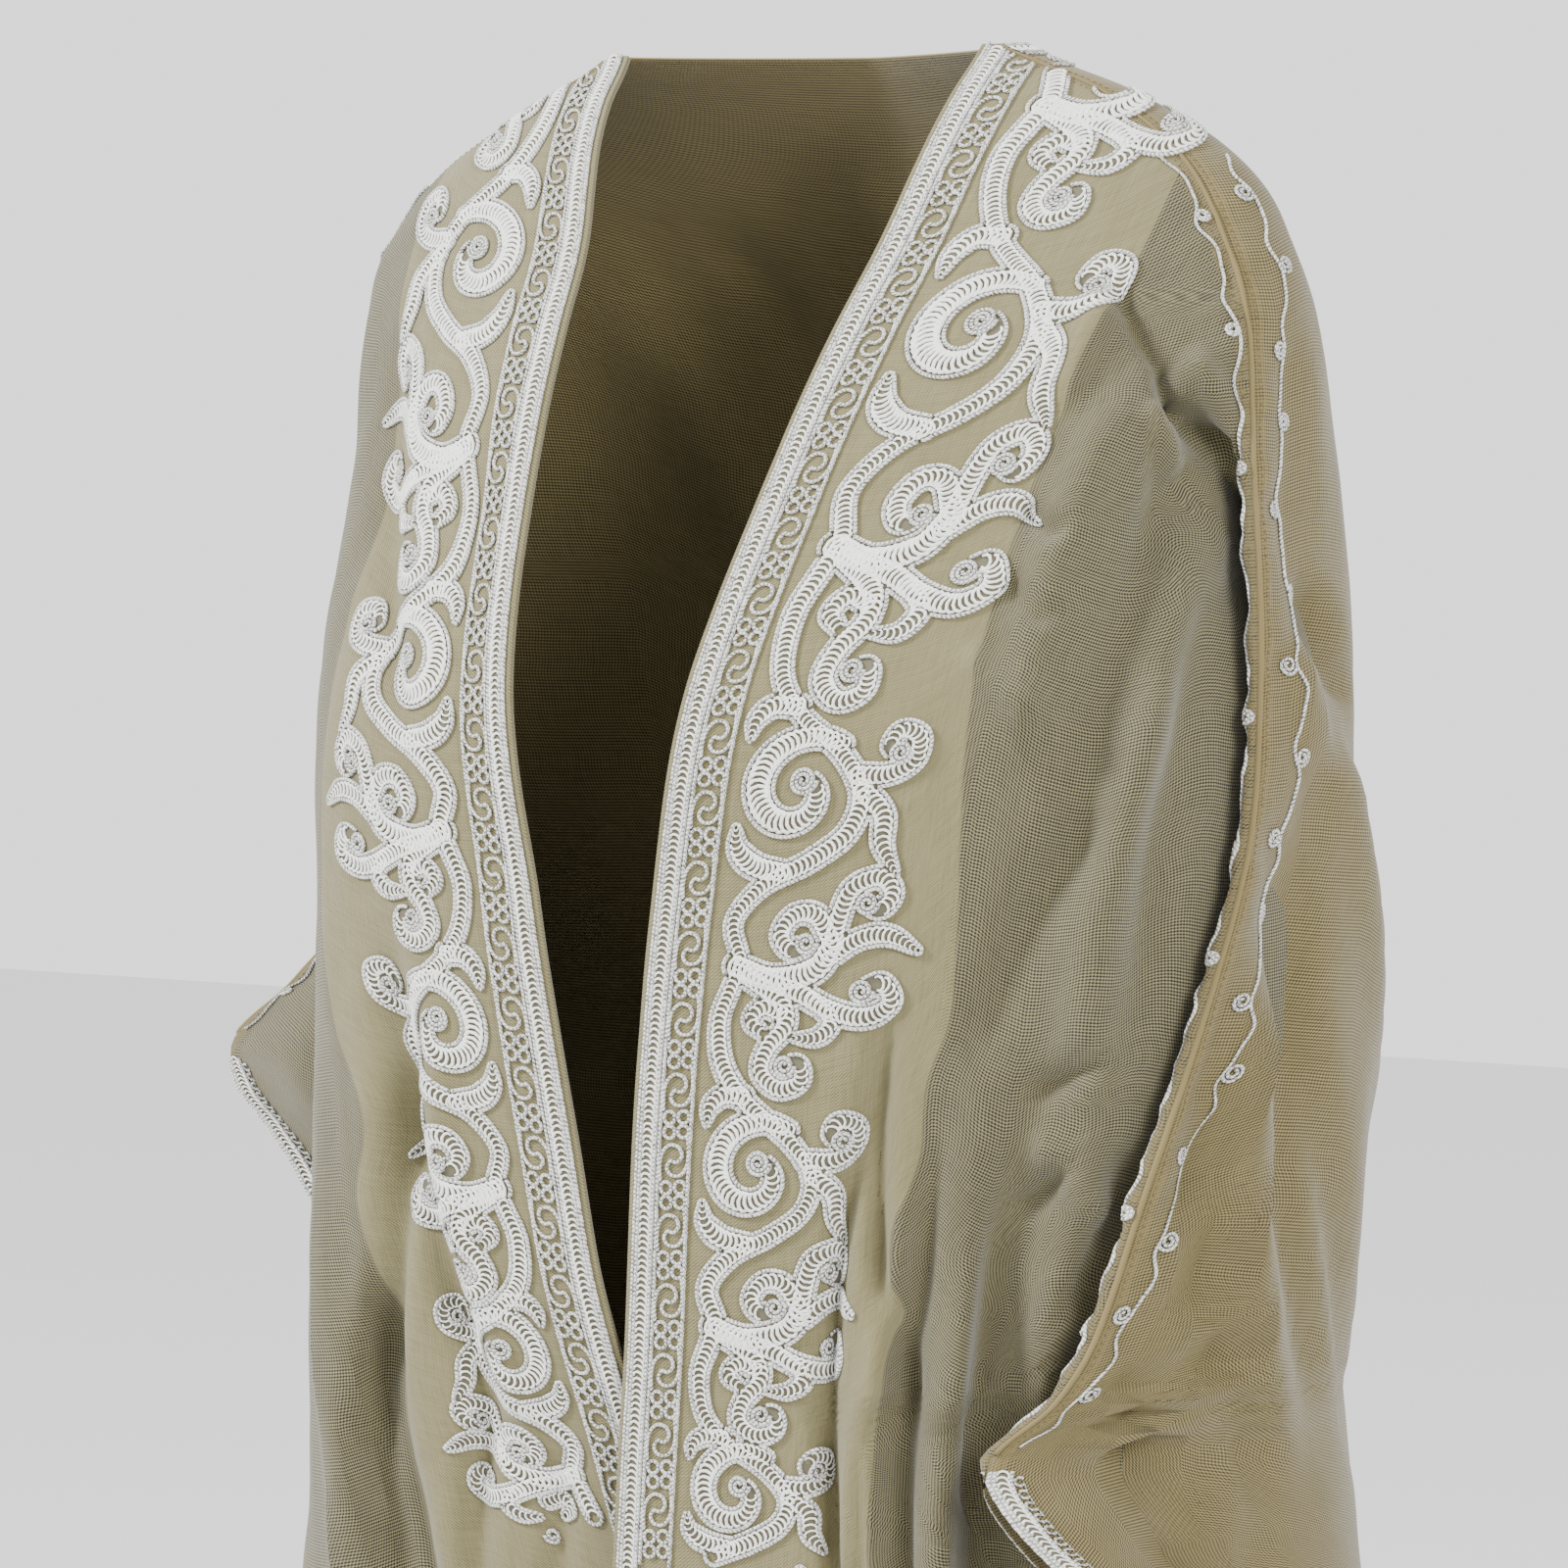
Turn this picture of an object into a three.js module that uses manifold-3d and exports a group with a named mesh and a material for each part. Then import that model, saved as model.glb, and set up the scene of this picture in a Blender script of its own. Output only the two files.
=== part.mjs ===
// A bisht: a long open cloak of thin wool cloth, worn over the shoulders with its sleeves hanging empty.
// It is cut from two front panels and one back panel, joined along the top of the shoulders and sleeves and
// down the sides. Raised white cord follows the front edges, the neck and the hand openings.
//
// Millimetres. +X is the wearer's left, -Y is the front, +Z is up. The origin lies between the two neck
// points, where the shoulder seams meet the neck and the wearer carries the cloak.
import * as THREE from "three";
import Module from "manifold-3d";

// ---------------------------------------------------------------- driving dimensions
const LENGTH = 1380; // neck point to hem
const TOP = -4; // the panels start just under the neck point
const CLOTH = 1.4; // wall of the panels, weave and nap included
const SEAM_GAP = 0.3; // between two pieces that are sewn together
const FACING = 1.2; // wall of the facing behind the embroidery
const BRAID = 2.0; // height of the edge braid
const SCROLL = 1.5; // height of the scroll embroidery
const SCROLL_LIFT = 0.8; // clear of the creases in the cloth below it
const BRAID_EDGE = 2.5; // bare cloth outside the edge braid
const BRAID_WIDTH = 10.5;
const FACING_WIDTH = 140;
const CUFF_BRAID = 11; // width of the braid round each hand opening
const LIP_RADIUS = 3.5; // how tightly the cloth turns over at a sleeve's top seam
const SEAM_PAST_LIP = 3; // the seam lies this far over the turn

// The draped body of the cloak: half widths, depths and squareness of the section at each height. The
// wearer's right front hangs flatter: its squareness is greater by "flat".
const FIGURE = [
  { z: 0, left: 97, right: 96, front: 14, back: 60, square: 1.3, flat: 0 },
  { z: -12, left: 126, right: 115, front: 29, back: 69, square: 1.38, flat: 0 },
  { z: -27, left: 167, right: 146, front: 44, back: 80, square: 1.46, flat: 0 },
  { z: -56, left: 213, right: 193, front: 62, back: 98, square: 1.65, flat: 0 },
  { z: -90, left: 235, right: 221, front: 80, back: 110, square: 1.85, flat: 0 },
  { z: -130, left: 247, right: 226, front: 103, back: 118, square: 2.05, flat: 0 },
  { z: -200, left: 253, right: 222, front: 135, back: 122, square: 2.2, flat: 0 },
  { z: -287, left: 258, right: 215, front: 165, back: 121, square: 2.3, flat: 0.5 },
  { z: -375, left: 265, right: 207, front: 167, back: 118, square: 2.3, flat: 1.0 },
  { z: -463, left: 269, right: 208, front: 166, back: 119, square: 2.3, flat: 1.2 },
  { z: -595, left: 270, right: 213, front: 162, back: 126, square: 2.3, flat: 1.2 },
  { z: -760, left: 274, right: 221, front: 163, back: 137, square: 2.25, flat: 1.1 },
  { z: -1000, left: 286, right: 246, front: 172, back: 152, square: 2.2, flat: 0.7 },
  { z: -LENGTH, left: 304, right: 278, front: 190, back: 174, square: 2.15, flat: 0.4 },
];

// How far each front edge lies from the centre, towards its own side. Below the closure the left laps the right.
const FRONT_EDGES = [
  { z: 0, left: 92, right: 90.4 },
  { z: -27, left: 90, right: 85.6 },
  { z: -90, left: 79, right: 69 },
  { z: -177, left: 58, right: 62 },
  { z: -287, left: 34, right: 52 },
  { z: -375, left: 20, right: 36 },
  { z: -463, left: 11, right: 20 },
  { z: -551, left: 5, right: 4 },
  { z: -620, left: 0, right: -14 },
  { z: -700, left: -4, right: -36 },
  { z: -900, left: -8, right: -48 },
  { z: -LENGTH, left: -14, right: -56 },
];
const LAP_DEPTH = 12; // the right front lies this far behind the left where they lap
const LAP_TOP = -520; // the lap opens from here
const LAP_FULL = -640;

// The wearer's left sleeve hangs as a flap that folds forward over the front panel.
// lip and tuck are the section's polar angles, in degrees from the front, of the flap's edge and of the fold
// that the front panel makes under it. out is how far the edge stands proud; hollow is the sleeve's inner room.
const LEFT_SLEEVE = [
  { z: 0, lip: 88, tuck: 91, out: 0, hollow: 9 },
  { z: -60, lip: 84.5, tuck: 90, out: 0, hollow: 9 },
  { z: -124, lip: 82, tuck: 91, out: 0, hollow: 9 },
  { z: -200, lip: 79, tuck: 95, out: 3, hollow: 10 },
  { z: -285, lip: 76.5, tuck: 98, out: 4, hollow: 12 },
  { z: -342, lip: 74, tuck: 100, out: 6, hollow: 14 },
  { z: -403, lip: 69, tuck: 100, out: 10, hollow: 16 },
  { z: -484, lip: 62, tuck: 98, out: 18, hollow: 18 },
  { z: -546, lip: 57, tuck: 97, out: 25, hollow: 20 },
  { z: -571, lip: 53, tuck: 96, out: 33, hollow: 21 },
  { z: -597, lip: 46.5, tuck: 95, out: 44, hollow: 22 },
  { z: -650, lip: 55, tuck: 96, out: 36, hollow: 22 },
  { z: -687, lip: 65, tuck: 97, out: 22, hollow: 21 },
  { z: -725, lip: 76, tuck: 98, out: 10, hollow: 20 },
  { z: -880, lip: 80, tuck: 98, out: 6, hollow: 18 },
  { z: -LENGTH, lip: 82, tuck: 99, out: 6, hollow: 20 },
];
const BACK_POINTS = [113, 128, 144, 160]; // polar angles of the back panel's control points, clear of the flap
const FLAP_FROM = -135; // above this the shoulder is smooth; the flap is fully folded at FLAP_FULL
const FLAP_FULL = -265;
const UNDER_FLAP = 10; // from the sleeve's under layer down to the front panel
const UNDER_LIP = 11; // from the flap's edge down to the front panel
const LEFT_CUFF = { top: -597, bottom: -725, mouth: 14 }; // the hand opening, and half its width

// The wearer's right sleeve hangs as a wing that points out and back, behind a fold of the front panel.
const RIGHT_SLEEVE = [
  { z: 0, tip: 90, out: 0, crest: 66, valley: 80, inset: 0, root: 108 },
  { z: -90, tip: 91, out: 0, crest: 66, valley: 80, inset: 0, root: 108 },
  { z: -180, tip: 96, out: 9, crest: 68, valley: 83, inset: 4, root: 118 },
  { z: -290, tip: 98, out: 28, crest: 71, valley: 86, inset: 12, root: 124 },
  { z: -396, tip: 96, out: 56, crest: 73, valley: 87, inset: 18, root: 126 },
  { z: -438, tip: 95, out: 92, crest: 73, valley: 87, inset: 20, root: 126 },
  { z: -474, tip: 94.5, out: 128, crest: 73, valley: 87, inset: 20, root: 126 },
  { z: -518, tip: 94.5, out: 82, crest: 73, valley: 87, inset: 18, root: 125 },
  { z: -568, tip: 96, out: 49, crest: 72, valley: 87, inset: 15, root: 124 },
  { z: -618, tip: 98, out: 30, crest: 72, valley: 87, inset: 12, root: 123 },
  { z: -775, tip: 99, out: 20, crest: 72, valley: 87, inset: 10, root: 122 },
  { z: -LENGTH, tip: 99, out: 19, crest: 72, valley: 87, inset: 12, root: 122 },
];
const RIGHT_CUFF = { top: -474, bottom: -609, mouth: 14 };

// Hanging folds. at is measured along the cloth from the front edge, or on the back from the centre towards the
// wearer's left; drift moves the fold outwards for each metre down; rise is outwards, or inwards if negative.
const FOLDS = {
  front_left: [
    { at: 127, drift: 0, width: 9, rise: -11, top: -480, full: -600 },
    { at: 150, drift: -8, width: 12, rise: 7, top: -450, full: -600 },
    { at: 178, drift: 0, width: 15, rise: -8, top: -300, full: -520 },
    { at: 226, drift: -60, width: 22, rise: 5, top: -90, full: -240 },
    { at: 96, drift: 8, width: 22, rise: 20, top: -760, full: -1150 },
    { at: 212, drift: 12, width: 20, rise: 20, top: -700, full: -1150 },
  ],
  front_right: [
    { at: 127, drift: 8, width: 10, rise: -11, top: -500, full: -640 },
    { at: 154, drift: 16, width: 15, rise: 13, top: -430, full: -600 },
    { at: 96, drift: 4, width: 20, rise: 15, top: -760, full: -1150 },
    { at: 186, drift: 24, width: 18, rise: -21, top: -600, full: -960 },
    { at: 226, drift: 30, width: 18, rise: 23, top: -600, full: -960 },
    { at: 270, drift: 34, width: 18, rise: -23, top: -620, full: -960 },
    { at: 312, drift: 36, width: 18, rise: 22, top: -640, full: -960 },
  ],
  back: [
    { at: 0, drift: 0, width: 24, rise: 21, top: -190, full: -860 },
    { at: 50, drift: 12, width: 20, rise: -25, top: -230, full: -860 },
    { at: 98, drift: 22, width: 22, rise: 24, top: -170, full: -760 },
    { at: 146, drift: 34, width: 20, rise: -25, top: -270, full: -860 },
    { at: 196, drift: 40, width: 22, rise: 24, top: -380, full: -860 },
    { at: 246, drift: 42, width: 22, rise: -23, top: -600, full: -960 },
    { at: 300, drift: 42, width: 22, rise: 22, top: -700, full: -1050 },
    { at: -50, drift: -14, width: 21, rise: -25, top: -200, full: -820 },
    { at: -98, drift: -20, width: 22, rise: 25, top: -220, full: -820 },
    { at: -148, drift: -30, width: 21, rise: -25, top: -300, full: -860 },
    { at: -198, drift: -38, width: 22, rise: 24, top: -380, full: -860 },
    { at: -248, drift: -44, width: 22, rise: -23, top: -600, full: -960 },
  ],
};

// Heights of the sections that the walls are lofted through. A cuff's braid starts and stops inside its opening.
const CUFF_END = 6;
const LEFT_BRAID = [LEFT_CUFF.top - CUFF_END, LEFT_CUFF.bottom + CUFF_END];
const RIGHT_BRAID = [RIGHT_CUFF.top - CUFF_END, RIGHT_CUFF.bottom + CUFF_END];
const ROWS = [
  TOP, -11, -20, -33, -52, -74, -100, -130, -165, -205, -247, -290, -335, -380, -425, RIGHT_CUFF.top,
  RIGHT_BRAID[0], -508, -538, -570, LEFT_CUFF.top, LEFT_BRAID[0], -640, -682, LEFT_BRAID[1], LEFT_CUFF.bottom,
  -840, -1050, -LENGTH,
];

// Columns across the embroidered strip, measured from the front edge.
const STRIP = [0, BRAID_EDGE, BRAID_EDGE + BRAID_WIDTH, 34, 58, 84, 112, 126, FACING_WIDTH];
const FACING_COLUMNS = STRIP.length;

// ---------------------------------------------------------------- reading the tables
const smooth = (x) => {
  const t = Math.min(1, Math.max(0, x));
  return t * t * (3 - 2 * t);
};
const ramp = (from, to, z) => smooth((z - from) / (to - from));
const mix = (a, b, t) => a + (b - a) * t;
const radians = THREE.MathUtils.degToRad;

// A column of a table at height z, on a smooth curve through its rows.
function at(table, column, z) {
  const last = table.length - 1;
  let k = 0;
  while (k < last - 1 && z < table[k + 1].z) k++;
  const slope = (j) => {
    const a = table[Math.max(0, j - 1)];
    const b = table[Math.min(last, j + 1)];
    return (b[column] - a[column]) / (b.z - a.z);
  };
  const span = table[k + 1].z - table[k].z;
  const t = Math.min(1, Math.max(0, (z - table[k].z) / span));
  const held = t * t;
  const cubed = held * t;
  return (
    (2 * cubed - 3 * held + 1) * table[k][column] +
    (cubed - 2 * held + t) * span * slope(k) +
    (3 * held - 2 * cubed) * table[k + 1][column] +
    (cubed - held) * span * slope(k + 1)
  );
}

// ---------------------------------------------------------------- the section at one height
function squareness(plain, z) {
  return at(FIGURE, "square", z) + (plain ? 0 : at(FIGURE, "flat", z));
}

// A point of the section at a polar angle from the front, moved out. side is 1 on the wearer's left.
function onFigure(side, degrees, z, out = 0) {
  const angle = radians(degrees);
  const across = Math.abs(Math.sin(angle)) / at(FIGURE, side > 0 ? "left" : "right", z);
  const along = Math.abs(Math.cos(angle)) / at(FIGURE, Math.abs(degrees) < 90 ? "front" : "back", z);
  const square = squareness(side > 0 || Math.abs(degrees) > 90, z);
  const r = (across ** square + along ** square) ** (-1 / square) + out;
  return new THREE.Vector3(side * r * Math.sin(angle), -r * Math.cos(angle), z);
}

// The polar angle at which a front edge lies.
function edgeAngle(side, z) {
  const x = at(FRONT_EDGES, side > 0 ? "left" : "right", z);
  const width = at(FIGURE, side > 0 ? "left" : "right", z);
  const square = squareness(side > 0, z);
  const reach = Math.min(0.999, Math.abs(x) / width);
  const y = at(FIGURE, "front", z) * (1 - reach ** square) ** (1 / square);
  return THREE.MathUtils.radToDeg(Math.atan2(x, y));
}

// The strip's points: at their distances from the front edge, or drawn together where the row is too short.
function stripPoints(side, z, seamAngle) {
  const from = edgeAngle(side, z);
  const lap = side < 0 ? LAP_DEPTH * ramp(LAP_TOP, LAP_FULL, z) : 0;
  const steps = 160;
  const walked = [{ angle: from, s: 0 }];
  let before = onFigure(side, from, z);
  for (let k = 1; k <= steps; k++) {
    const angle = mix(from, seamAngle, k / steps);
    const here = onFigure(side, angle, z);
    walked.push({ angle, s: walked[k - 1].s + here.distanceTo(before) });
    before = here;
  }
  const whole = walked[steps].s;
  const squeeze = Math.min(1, (0.8 * whole) / FACING_WIDTH);
  let k = 0;
  return STRIP.map((distance) => {
    const s = distance * squeeze;
    while (k < steps - 1 && walked[k + 1].s < s) k++;
    const t = (s - walked[k].s) / (walked[k + 1].s - walked[k].s);
    const angle = mix(walked[k].angle, walked[k + 1].angle, t);
    const inset = lap * smooth((125 - distance) / 60);
    return { point: onFigure(side, angle, z, -inset), angle, s };
  });
}

const openCuff = (cuff, z) => z < cuff.top - 1 && z > cuff.bottom + 1;
const mouthOf = (cuff, z) => {
  const t = (z - cuff.top) / (cuff.bottom - cuff.top);
  return cuff.mouth * Math.sin(Math.PI * Math.min(1, Math.max(0, t))) ** 0.6;
};

// The wearer's left: the control points of the front panel and the first of the back panel.
function leftSide(z) {
  const sleeve = (column) => at(LEFT_SLEEVE, column, z);
  const lip = sleeve("lip");
  const tuck = sleeve("tuck");
  const out = sleeve("out");
  const hollow = sleeve("hollow");
  const folded = ramp(FLAP_FROM, FLAP_FULL, z);
  const strip = stripPoints(1, z, lip);
  const stripEnd = strip[strip.length - 1].angle;

  const outward = new THREE.Vector3(Math.sin(radians(lip)), -Math.cos(radians(lip)), 0);
  const forward = new THREE.Vector3(-Math.cos(radians(lip)), -Math.sin(radians(lip)), 0);
  const edge = onFigure(1, lip, z, out);
  const near = (back, up) => edge.clone().addScaledVector(forward, -back).addScaledVector(outward, up);
  const proud = (angle) => out * (1 - smooth((angle - lip) / 34));
  const layer = (angle, down) => onFigure(1, angle, z, proud(angle) - down);

  const open = openCuff(LEFT_CUFF, z);
  const mouth = open ? mouthOf(LEFT_CUFF, z) : 0;
  const smoothAngle = (f) => mix(stripEnd, lip, f);
  const under = hollow + UNDER_FLAP;
  const meets = Math.max(lip, stripEnd + 10); // where the panel goes in under the flap
  // Each point where the sleeve is folded, and where the shoulder is smooth.
  const folds = [
    [onFigure(1, mix(stripEnd, meets, 0.5), z), smoothAngle(0.12)],
    [onFigure(1, meets - 1.5, z, -1 - Math.max(0, UNDER_LIP - out)), smoothAngle(0.25)],
    [onFigure(1, mix(meets, tuck, 0.45), z, -0.95 * under), smoothAngle(0.38)],
    [onFigure(1, tuck + 2.2, z, -hollow - UNDER_FLAP / 2), smoothAngle(0.5)],
    [layer(mix(tuck, lip, 0.12), hollow), smoothAngle(0.62)],
    [layer(mix(tuck, lip, 0.5), hollow), smoothAngle(0.74)],
    [open ? near(2 * CUFF_BRAID, -mouth - 2) : near(18, -2 * LIP_RADIUS - 1), smoothAngle(0.86)],
    [open ? near(CUFF_BRAID, -mouth) : near(0, -LIP_RADIUS), smoothAngle(0.93)],
    [open ? near(0, -mouth) : near(SEAM_PAST_LIP, 0), lip],
  ].map(([there, angle]) => onFigure(1, angle, z).lerp(there, folded));

  // Near the lip the points follow it; further round they keep their places.
  const backAngles = [...[0.1, 0.3, 0.6].map((f) => mix(lip, BACK_POINTS[0], f)), ...BACK_POINTS];
  const back = [
    open ? near(0, mouth) : folds[folds.length - 1].clone(),
    open ? near(CUFF_BRAID, mouth) : onFigure(1, backAngles[0], z).lerp(near(14, 1), folded),
    ...backAngles.slice(1).map((angle) => onFigure(1, angle, z, proud(angle) * folded)),
  ];
  return { strip, front: folds, back, open };
}

// The wearer's right: the control points of the front panel and the last of the back panel.
function rightSide(z) {
  const sleeve = (column) => at(RIGHT_SLEEVE, column, z);
  const tip = sleeve("tip");
  const out = sleeve("out");
  const inset = sleeve("inset");
  const strip = stripPoints(-1, z, tip);
  const stripEnd = strip[strip.length - 1].angle;

  const outward = new THREE.Vector3(-Math.sin(radians(tip)), -Math.cos(radians(tip)), 0);
  const backward = new THREE.Vector3(-Math.cos(radians(tip)), Math.sin(radians(tip)), 0);
  const point = onFigure(-1, tip, z, out);
  const near = (inward, behind) =>
    point.clone().addScaledVector(outward, -inward).addScaledVector(backward, behind);
  const open = openCuff(RIGHT_CUFF, z);
  const mouth = open ? mouthOf(RIGHT_CUFF, z) : 0;
  // A wing that hardly stands out is as round as the shoulder; a long one has a tight tip.
  const sharp = smooth(out / 30);
  const crest = Math.max(sleeve("crest"), mix(stripEnd, tip, 0.3));
  const valley = mix(crest, tip, 0.58);
  const frontNear = mix(valley, tip, 0.72);
  const back1 = mix(tip, sleeve("root"), 0.2);
  const front = [
    onFigure(-1, mix(stripEnd, crest, 0.5), z),
    onFigure(-1, crest, z),
    onFigure(-1, mix(crest, valley, 0.6), z, -0.75 * inset),
    onFigure(-1, mix(valley, tip, 0.15), z, -inset + 0.2 * out),
    onFigure(-1, mix(valley, tip, 0.45), z).lerp(near(0.45 * out + 10, -0.16 * out - 7), sharp),
    open ? near(CUFF_BRAID, -mouth) : onFigure(-1, frontNear, z).lerp(near(9, -5), sharp),
    open ? near(0, -mouth) : point.clone(),
  ];
  const back = [
    open ? near(0, mouth) : point.clone(),
    open ? near(CUFF_BRAID, mouth) : onFigure(-1, back1, z).lerp(near(9, 5), sharp),
    onFigure(-1, mix(tip, sleeve("root"), 0.5), z).lerp(near(0.5 * out + 10, 0.34 * out + 9), sharp),
    ...[0, 0.22, 0.46, 0.7, 0.86].map((f) => onFigure(-1, mix(sleeve("root"), 180, f), z)),
  ];
  return { strip, front, back, open };
}

// ---------------------------------------------------------------- rows and grids
// Points on a curve through the control points, so many to each span. before and after steer its two ends.
function sampled(points, counts, before, after) {
  const all = [...(before ? [before] : []), ...points, ...(after ? [after] : [])];
  const curve = new THREE.CatmullRomCurve3(all, false, "centripetal");
  const spans = all.length - 1;
  const first = before ? 1 : 0;
  const made = [];
  counts.forEach((count, k) => {
    for (let n = 0; n < count; n++) made.push(curve.getPoint((first + k + n / count) / spans));
  });
  made.push(points[points.length - 1].clone());
  return made;
}

// Moves a row's points along its own normal by the folds that cross it. The folds die out towards a seam.
function hung(row, folds, z, distanceOf, seamAtStart) {
  const moved = row.map((p) => p.clone());
  const run = runningLength(row);
  row.forEach((p, i) => {
    const s = distanceOf(i);
    const along = row[Math.min(row.length - 1, i + 1)].clone().sub(row[Math.max(0, i - 1)]);
    const normal = new THREE.Vector3(along.y, -along.x, 0).normalize();
    folds.forEach((fold) => {
      const centre = fold.at + (fold.drift * -z) / 1000;
      const lift = fold.rise * ramp(fold.top, fold.full, z) * Math.exp(-(((s - centre) / fold.width) ** 2));
      const toSeam = Math.min(run[row.length - 1] - run[i], seamAtStart ? run[i] : Infinity);
      moved[i].addScaledVector(normal, lift * smooth((toSeam - 6) / 34));
    });
  });
  return moved;
}

const runningLength = (row) => {
  const s = [0];
  for (let i = 1; i < row.length; i++) s.push(s[i - 1] + row[i].distanceTo(row[i - 1]));
  return s;
};

const STRIP_COUNTS = STRIP.slice(1).map(() => 1);
const LEFT_COUNTS = [...STRIP_COUNTS, 2, 2, 2, 1, 1, 2, 1, 1, 1];
const RIGHT_COUNTS = [...STRIP_COUNTS, 1, 2, 1, 1, 1, 1, 1];
const BACK_COUNTS = [1, 1, 2, 2, 3, 3, 4, 4, 4, 3, 3, 3, 2, 2, 1, 1];

// Draws a panel back from its seam by half the seam's gap, and further where the shoulder turns to the neck.
function trimmed(row, atEnd) {
  const edge = atEnd ? row.length - 1 : 0;
  const inner = atEnd ? row.length - 2 : 1;
  const step = row[inner].clone().sub(row[edge]);
  row[edge].addScaledVector(step.normalize(), SEAM_GAP / 2 + 0.05 + 0.7 * ramp(-26, -8, row[edge].z));
  return row;
}

function rowsOf(z) {
  const left = leftSide(z);
  const right = rightSide(z);
  const leftPoints = [...left.strip.map((p) => p.point), ...left.front];
  const rightPoints = [...right.strip.map((p) => p.point), ...right.front];
  const frontLeft = sampled(leftPoints, LEFT_COUNTS, null, left.open ? null : left.back[1]);
  const frontRight = sampled(rightPoints, RIGHT_COUNTS, null, right.open ? null : right.back[1]);
  const backPoints = [...left.back, onFigure(1, 180, z), ...right.back.slice().reverse()];
  const back = sampled(
    backPoints,
    BACK_COUNTS,
    left.open ? null : leftPoints[leftPoints.length - 2],
    right.open ? null : rightPoints[rightPoints.length - 2],
  );
  const leftRun = runningLength(frontLeft);
  const rightRun = runningLength(frontRight);
  const backRun = runningLength(back);
  const centre = backRun[BACK_COUNTS.slice(0, left.back.length).reduce((a, b) => a + b, 0)];
  return {
    openLeft: left.open,
    openRight: right.open,
    front_left: trimmed(hung(frontLeft, FOLDS.front_left, z, (i) => leftRun[i]), true),
    // The right row runs the other way round the body, so its folds are turned to rise outwards.
    front_right: trimmed(
      hung(frontRight, FOLDS.front_right.map((f) => ({ ...f, rise: -f.rise })), z, (i) => rightRun[i]),
      true,
    ),
    back: trimmed(trimmed(hung(back, FOLDS.back, z, (i) => centre - backRun[i], true), true), false),
  };
}

// The outward normal at each point of a grid. beyond gives each row's neighbours past its two ends, if any.
function normalsOf(grid, turn, beyond) {
  return grid.map((row, j) =>
    row.map((p, i) => {
      const [before, after] = beyond[j];
      const next = i + 1 < row.length ? row[i + 1] : after || p;
      const across = next.clone().sub(i > 0 ? row[i - 1] : before || p);
      const down = grid[Math.min(grid.length - 1, j + 1)][i].clone().sub(grid[Math.max(0, j - 1)][i]);
      return down.cross(across).multiplyScalar(turn).normalize();
    }),
  );
}

// ---------------------------------------------------------------- solids
function solid(vertices, triangles) {
  let volume = 0;
  for (const [a, b, c] of triangles) {
    volume += vertices[a].dot(vertices[b].clone().cross(vertices[c]));
  }
  const faces = volume < 0 ? triangles.map(([a, b, c]) => [a, c, b]) : triangles;
  const geometry = new THREE.BufferGeometry();
  geometry.setAttribute("position", new THREE.Float32BufferAttribute(vertices.flatMap((p) => p.toArray()), 3));
  geometry.setIndex(faces.flat());
  return geometry;
}

// A closed wall between two distances from a grid of points, along their normals.
function wall(grid, normals, low, high) {
  const rows = grid.length;
  const columns = grid[0].length;
  const face = (h) => grid.flatMap((row, j) => row.map((p, i) => p.clone().addScaledVector(normals[j][i], h)));
  const vertices = [...face(low), ...face(high)];
  const count = rows * columns;
  const id = (j, i, top) => (top ? count : 0) + j * columns + i;
  const triangles = [];
  for (let j = 0; j + 1 < rows; j++) {
    for (let i = 0; i + 1 < columns; i++) {
      const corners = [[j, i], [j, i + 1], [j + 1, i + 1], [j + 1, i]];
      const [a, b, c, d] = corners.map(([r, k]) => id(r, k, true));
      const [e, f, g, h] = corners.map(([r, k]) => id(r, k, false));
      triangles.push([a, b, c], [a, c, d], [e, g, f], [e, h, g]);
    }
  }
  const rim = [];
  for (let i = 0; i < columns; i++) rim.push([0, i]);
  for (let j = 1; j < rows; j++) rim.push([j, columns - 1]);
  for (let i = columns - 2; i >= 0; i--) rim.push([rows - 1, i]);
  for (let j = rows - 2; j > 0; j--) rim.push([j, 0]);
  rim.forEach(([r, k], n) => {
    const [s, m] = rim[(n + 1) % rim.length];
    triangles.push([id(r, k, true), id(r, k, false), id(s, m, false)]);
    triangles.push([id(r, k, true), id(s, m, false), id(s, m, true)]);
  });
  return solid(vertices, triangles);
}

const part = (grid, from, to) => grid.map((row) => row.slice(from, to));

// ---------------------------------------------------------------- the scroll embroidery
// Drawn flat first, as bands of cord: u runs across from the front edge, v down along it. across is in
// millimetres from the border's inner line; down is a share of the repeat's length.
const VINE_LEFT = 33;
const VINE_FROM = 12;
const VINE_TO = 702;
const REPEATS = {
  left: [
    { from: -128, length: 200, size: 1.14, reach: 1.1 },
    { from: 72, length: 210, size: 1.14, reach: 1.1 },
    { from: 282, length: 185, size: 1.08, reach: 1.06 },
    { from: 467, length: 140, size: 0.96, reach: 0.96 },
    { from: 607, length: 112, size: 0.86, reach: 0.9 },
  ],
  right: [
    { from: -150, length: 194, size: 1.12, reach: 1.1 },
    { from: 44, length: 205, size: 1.12, reach: 1.1 },
    { from: 249, length: 168, size: 1.04, reach: 1.04 },
    { from: 417, length: 163, size: 1, reach: 0.98 },
    { from: 580, length: 115, size: 0.86, reach: 0.88 },
  ],
};
const STEM = [
  [9, 0], [21, 0.1], [42, 0.2], [53, 0.3], [50, 0.4], [36, 0.475], [18, 0.54], [7, 0.635], [12, 0.735],
  [9, 0.8], [5, 0.89],
];
const STEM_WIDTH = 10;
const SPIRAL = { across: 27, down: 0.3, outer: 23.5, eye: 4, start: -52, turns: 1.2, width: 10, steps: 10 };
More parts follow.
